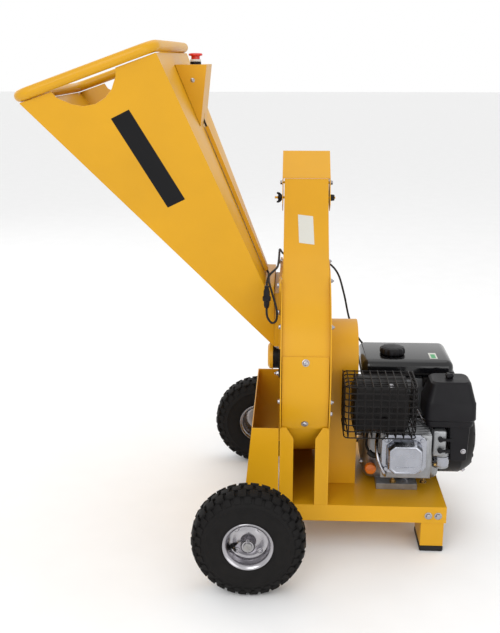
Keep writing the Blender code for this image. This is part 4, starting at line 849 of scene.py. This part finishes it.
def make_tank_and_air():
    low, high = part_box("fuel_tank")
    mid = (low + high) / 2
    bm = bmesh.new()
    add_block(bm, (low.x + 0.003, low.y + 0.003, low.z), (high.x - 0.003, high.y - 0.003, high.z), 0.020, 6)
    publish("fuel_tank_shell", bm, GLOSS_BLACK, "chassis", ("fuel_tank",), 60)
    bm = bmesh.new()
    add_block(bm, (low.x, low.y, low.z + 0.0150), (high.x, high.y, low.z + 0.0185), 0.0015, 2)
    for dx in (-0.060, 0.060):
        add_block(bm, (mid.x + dx - 0.020, low.y - 0.001, low.z - 0.020),
                  (mid.x + dx + 0.020, low.y + 0.020, low.z + 0.0075), 0.002)
    publish("fuel_tank_seam", bm, BLACK_PAINT)
    cap_low, cap_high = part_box("fuel_cap")
    spot = (cap_low + cap_high) / 2
    bm = bmesh.new()
    tall = cap_high.z - cap_low.z
    profile = [(0, 0), (0.0270, 0), (0.0300, 0.0010), (0.0336, 0.0030), (0.0340, 0.0045),
               (0.0338, 0.0125), (0.0322, 0.0165), (0.0285, 0.0186), (0.0150, tall - 0.0003), (0, tall)]
    add_lathe(bm, profile, (spot.x, spot.y, cap_low.z), (0, 0, 1), 120, lobes=12, depth=0.0022)
    publish("fuel_cap_moulding", bm, BLACK_PLASTIC, "tank_cap", ("fuel_cap",), 50)

    top = high.z - 0.00005
    front = low.y + 0.030
    for name, look, near, lift in (("blank_tank_label", PALE_LABEL, 0.0, 0.0),
                                   ("blank_tank_label_band", GREEN_LABEL, 0.004, 0.00025)):
        bm = bmesh.new()
        left, right = mid.x + 0.060 + near, mid.x + 0.080 - near
        add_block(bm, (left, front + near, top - 0.0002),
                  (right, front + 0.048 - 3 * near, top + 0.0001 + lift), 0.00008, 1)
        publish(name, bm, look)

    low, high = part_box("air_cleaner_cover")
    bm = bmesh.new()
    waist = low.z + 0.050
    inset = 0.017
    levels = [(low.z, 0.0030), (low.z + 0.004, 0.0), (waist - 0.004, 0.0015), (waist, 0.0035),
              (high.z - 0.0045, inset - 0.002), (high.z, inset + 0.003)]
    loops = [soft_loop(bm, low.x + step, high.x - step, low.y + step, high.y - step, z, 0.017)
             for z, step in levels]
    for here, after in zip(loops, loops[1:]):
        for step in range(len(here)):
            bm.faces.new([here[step - 1], here[step], after[step], after[step - 1]])
    bm.faces.new(loops[-1])
    bm.faces.new(loops[0][::-1])
    publish("air_cleaner_lid", bm, BLACK_PLASTIC, "chassis", ("air_cleaner_cover",), 32, 0.0012)
    low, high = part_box("air_cleaner_base")
    bm = bmesh.new()
    levels = [(low.z, 0.012), (low.z + 0.006, 0.007), (high.z - 0.016, 0.002), (high.z - 0.004, 0.0),
              (high.z, 0.0006)]
    loops = [soft_loop(bm, low.x + step, high.x - step, low.y + step, high.y - step, z, 0.014)
             for z, step in levels]
    for here, after in zip(loops, loops[1:]):
        for step in range(len(here)):
            bm.faces.new([here[step - 1], here[step], after[step], after[step - 1]])
    bm.faces.new(loops[-1])
    bm.faces.new(loops[0][::-1])
    publish("air_cleaner_tray", bm, BLACK_PLASTIC, "chassis", ("air_cleaner_base",), 32, 0.0010)

    bm = bmesh.new()
    right = high.x - 0.008
    place = Matrix(((1, 0, 0, 0), (0, 0, -1, low.y + 0.040), (0, 1, 0, 0), (0, 0, 0, 1)))
    tongue = [(right - 0.052, low.z + 0.004), (right - 0.048, low.z - 0.050),
              (right - 0.046, low.z - 0.085), (right - 0.042, low.z - 0.090),
              (right - 0.008, low.z - 0.090), (right - 0.004, low.z - 0.085), (right, low.z + 0.004)]
    add_prism(bm, tongue, place, 0.030)
    publish("air_cleaner_skirt", bm, BLACK_PLASTIC, bevel=0.0030)
    bm = bmesh.new()
    add_hex_bolt(bm, (right - 0.014, low.y + 0.010, low.z - 0.062), (0, -1, 0), 0.0052)
    publish("air_cleaner_skirt_bolt", bm, ZINC, bevel=0.0003)

    low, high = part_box("air_cleaner_knob")
    spot = (low + high) / 2
    bm = bmesh.new()
    profile = [(0, 0), (0.0100, 0), (0.0118, 0.0030), (0.0120, 0.0060), (0.0104, 0.0098),
               (0.0080, 0.0118), (0, 0.0120)]
    add_lathe(bm, profile, (spot.x, spot.y, low.z), (0, 0, 1), 60, lobes=3, depth=0.0042)
    publish("air_cleaner_wing", bm, BLACK_PLASTIC, "filter_knob", ("air_cleaner_knob",), 40)


def soft_loop(bm, x0, x1, y0, y1, z, radius, steps=4):
    """Rounded rectangle of vertices in a level plane."""
    points = []
    for cx, cy, start in ((x1 - radius, y1 - radius, 0), (x0 + radius, y1 - radius, 90),
                          (x0 + radius, y0 + radius, 180), (x1 - radius, y0 + radius, 270)):
        for step in range(steps + 1):
            angle = radians(start + 90 * step / steps)
            points.append((cx + radius * cos(angle), cy + radius * sin(angle)))
    return [bm.verts.new((x, y, z)) for x, y in points]


def make_fuel_system():
    refine("carburettor", CAST, 0.0006)
    low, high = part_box("carburettor")
    bowl = Vector((high.x - 0.021, -0.104, low.z))
    bm = bmesh.new()
    profile = [(0.0130, -0.0006), (0.0205, 0.0045), (0.0216, 0.0080), (0.0216, 0.0270), (0.0224, 0.0275),
               (0.0224, 0.0310), (0.0216, 0.0315)]
    add_lathe(bm, profile, bowl, (0, 0, 1), 40)
    publish("float_bowl", bm, SATIN, sharp=40)
    bm = bmesh.new()
    add_hex_bolt(bm, bowl + Vector((0, 0, 0.0002)), (0, 0, -1), 0.0058, False)
    add_hex_bolt(bm, (bowl.x - 0.016, -0.124, low.z + 0.012), (-0.3, -1, 0), 0.0038, False)
    publish("bowl_bolts", bm, BRASS, bevel=0.0003)

    bm = bmesh.new()
    spring = []
    start, end = Vector((0.380, -0.030, 0.352)), Vector((0.405, -0.100, 0.318))
    axis = (end - start).normalized()
    across = axis.orthogonal().normalized()
    other = axis.cross(across)
    for step in range(145):
        t = step / 144
        angle = 2 * pi * 14 * t
        spring.append(start.lerp(end, 0.15 + 0.7 * t) + (across * cos(angle) + other * sin(angle)) * 0.0032)
    add_tube(bm, [start] + spring + [end], 0.0006, 6)
    rod = [(0.372, -0.060, 0.322), (0.400, -0.088, 0.3165), (0.428, -0.118, 0.3085)]
    add_tube(bm, smooth_path(rod, 5), 0.0011, 8)
    rod = [(0.368, -0.066, 0.310), (0.396, -0.112, 0.292), (0.420, -0.130, 0.286)]
    add_tube(bm, smooth_path(rod, 5), 0.0011, 8)
    publish("governor_spring_and_rods", bm, ZINC, sharp=60)
    bm = bmesh.new()
    place = axis_frame((0.3700, -0.0580, 0.2950), (0, -1, 0), radians(14))
    add_prism(bm, [(-0.007, -0.002), (0.007, -0.002), (0.006, 0.052), (-0.006, 0.052)], place, 0.0022)
    publish("governor_arm", bm, BLACK_PAINT, bevel=0.0005)

    for node, body in (("choke_lever", "choke"), ("fuel_valve_lever", "fuel_valve")):
        low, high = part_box(node)
        hub = Vector((low.x + 0.0065, high.y, (low.z + high.z) / 2))
        reach = high.x - hub.x
        bm = bmesh.new()
        profile = [(0, 0), (0.0064, 0), (0.0064, 0.0086), (0.0054, 0.0098), (0, 0.0100)]
        add_lathe(bm, profile, hub, (0, -1, 0), 24)
        place = Matrix.Translation(hub + Vector((0, -0.0096, 0))) @ Matrix.Rotation(radians(-90), 4, "X")
        blade = [(0.000, -0.0042), (reach * 0.55, -0.0030), (reach - 0.003, -0.0044), (reach, -0.0030),
                 (reach, 0.0030), (reach - 0.003, 0.0044), (reach * 0.55, 0.0030), (0.000, 0.0042)]
        add_prism(bm, blade, place, 0.0044)
        publish(node + "_moulding", bm, BLACK_PLASTIC, body, (node,), 35, 0.0006)
    refine("throttle_lever", BLACK_PAINT, 0.0006)
    low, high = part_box("oil_dipstick")
    spot = (low + high) / 2
    bm = bmesh.new()
    reach = high.y - low.y
    profile = [(0, 0), (0.0098, 0), (0.0100, 0.0100), (0.0120, 0.0112), (0.0150, 0.0122),
               (0.0150, reach - 0.0050), (0.0138, reach - 0.0022), (0.0110, reach - 0.0012),
                (0, reach - 0.0010)]
    add_lathe(bm, profile, (spot.x, high.y, spot.z), (0, -1, 0), 60, lobes=20, depth=0.0007)
    add_block(bm, (spot.x - 0.0105, low.y, spot.z - 0.0016),
              (spot.x + 0.0105, low.y + 0.0030, spot.z + 0.0016), 0.0005,
              2, Matrix.Translation(spot) @ Matrix.Rotation(radians(-20), 4, "Y") @ Matrix.Translation(-spot))
    publish("oil_dipstick_cap", bm, ORANGE, "dipstick", ("oil_dipstick",), 40)


def make_starter():
    _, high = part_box("fan_cover")
    refine("fan_cover", BLACK_PAINT, 0.0008)
    bm = bmesh.new()
    end = high.x
    for count in range(16):
        angle = 2 * pi * count / 16
        outline = [(0.064, -0.0035), (0.082, -0.0045), (0.082, 0.0045), (0.064, 0.0035)]
        turn = Matrix.Translation((end - 0.0125, CRANK.y, CRANK.z)) @ Matrix.Rotation(angle, 4, "X")
        place = turn @ Matrix(((0, 0, 1, 0), (1, 0, 0, 0), (0, 1, 0, 0), (0, 0, 0, 1)))
        add_prism(bm, outline, place, 0.0050)
    profile = [(0.0200, 0), (0.0200, -0.0006), (0.0500, -0.0006), (0.0500, 0)]
    add_lathe(bm, profile, (end - 0.0002, CRANK.y, CRANK.z), (1, 0, 0), 48, closed=True)
    publish("starter_ribs", bm, BLACK_PLASTIC, bevel=0.0006)
    bm = bmesh.new()
    for count in range(3):
        angle = radians(90 + 120 * count + 25)
        spot = (end - 0.0290, CRANK.y + 0.0965 * cos(angle), CRANK.z + 0.0965 * sin(angle))
        normal = Vector((0.55, 0.83 * cos(angle), 0.83 * sin(angle)))
        add_hex_bolt(bm, spot, normal, 0.0052)
    publish("starter_bolts", bm, ZINC, bevel=0.0003)
    refine("starter_handle", BLACK_PLASTIC, 0.0025)
    refine("engine_switch", RED, 0.0008)


# ---- picture ------------------------------------------------------------------------------------
def make_stage():
    bm = bmesh.new()
    bmesh.ops.create_grid(bm, x_segments=2, y_segments=2, size=30.0)
    mesh = bpy.data.meshes.new("floor")
    bm.to_mesh(mesh)
    bm.free()
    floor = bpy.data.objects.new("floor", mesh)
    bpy.context.scene.collection.objects.link(floor)
    floor.location.z = -0.0002
    mesh.materials.append(material("pale_floor", (0.86, 0.86, 0.86), 0.75, mottle=0.01, grain=0.02,
                                   grain_scale=40.0))

    world = bpy.data.worlds.new("studio")
    bpy.context.scene.world = world
    world.use_nodes = True
    world.node_tree.nodes["Background"].inputs["Color"].default_value = (1, 1, 1, 1)
    world.node_tree.nodes["Background"].inputs["Strength"].default_value = 1.0

    add_light("key", (-1.2, -3.4, 2.8), 2.2, 46)
    add_light("fill", (2.2, -3.4, 0.9), 2.4, 26)
    add_light("top", (0.2, 1.2, 3.8), 3.0, 22)
    add_light("back", (-2.6, 3.0, 2.6), 2.5, 15)
    bpy.context.scene.view_settings.view_transform = "Standard"

    lens = bpy.data.cameras.new("camera")
    lens.lens = 52.6
    lens.sensor_width = 36.0
    camera = bpy.data.objects.new("camera", lens)
    bpy.context.scene.collection.objects.link(camera)
    camera.location = (AXLE.x + 0.0909, -2.2941, 1.2140)
    camera.rotation_euler = (radians(74.2), 0, radians(2.6))
    bpy.context.scene.camera = camera


def add_light(name, place, size, power):
    data = bpy.data.lights.new(name, "AREA")
    data.size = size
    data.energy = power
    lamp = bpy.data.objects.new(name, data)
    bpy.context.scene.collection.objects.link(lamp)
    lamp.location = place
    aim = Vector((0, 0, 0.6)) - Vector(place)
    lamp.rotation_euler = aim.to_track_quat("-Z", "Y").to_euler()


for side_name, side in (("near", -1), ("far", 1)):
    make_wheel(side_name, side)
make_running_gear()
make_housing()
make_rotor()
make_hopper()
make_block()
make_exhaust()
make_tank_and_air()
make_fuel_system()
make_starter()
make_stage()
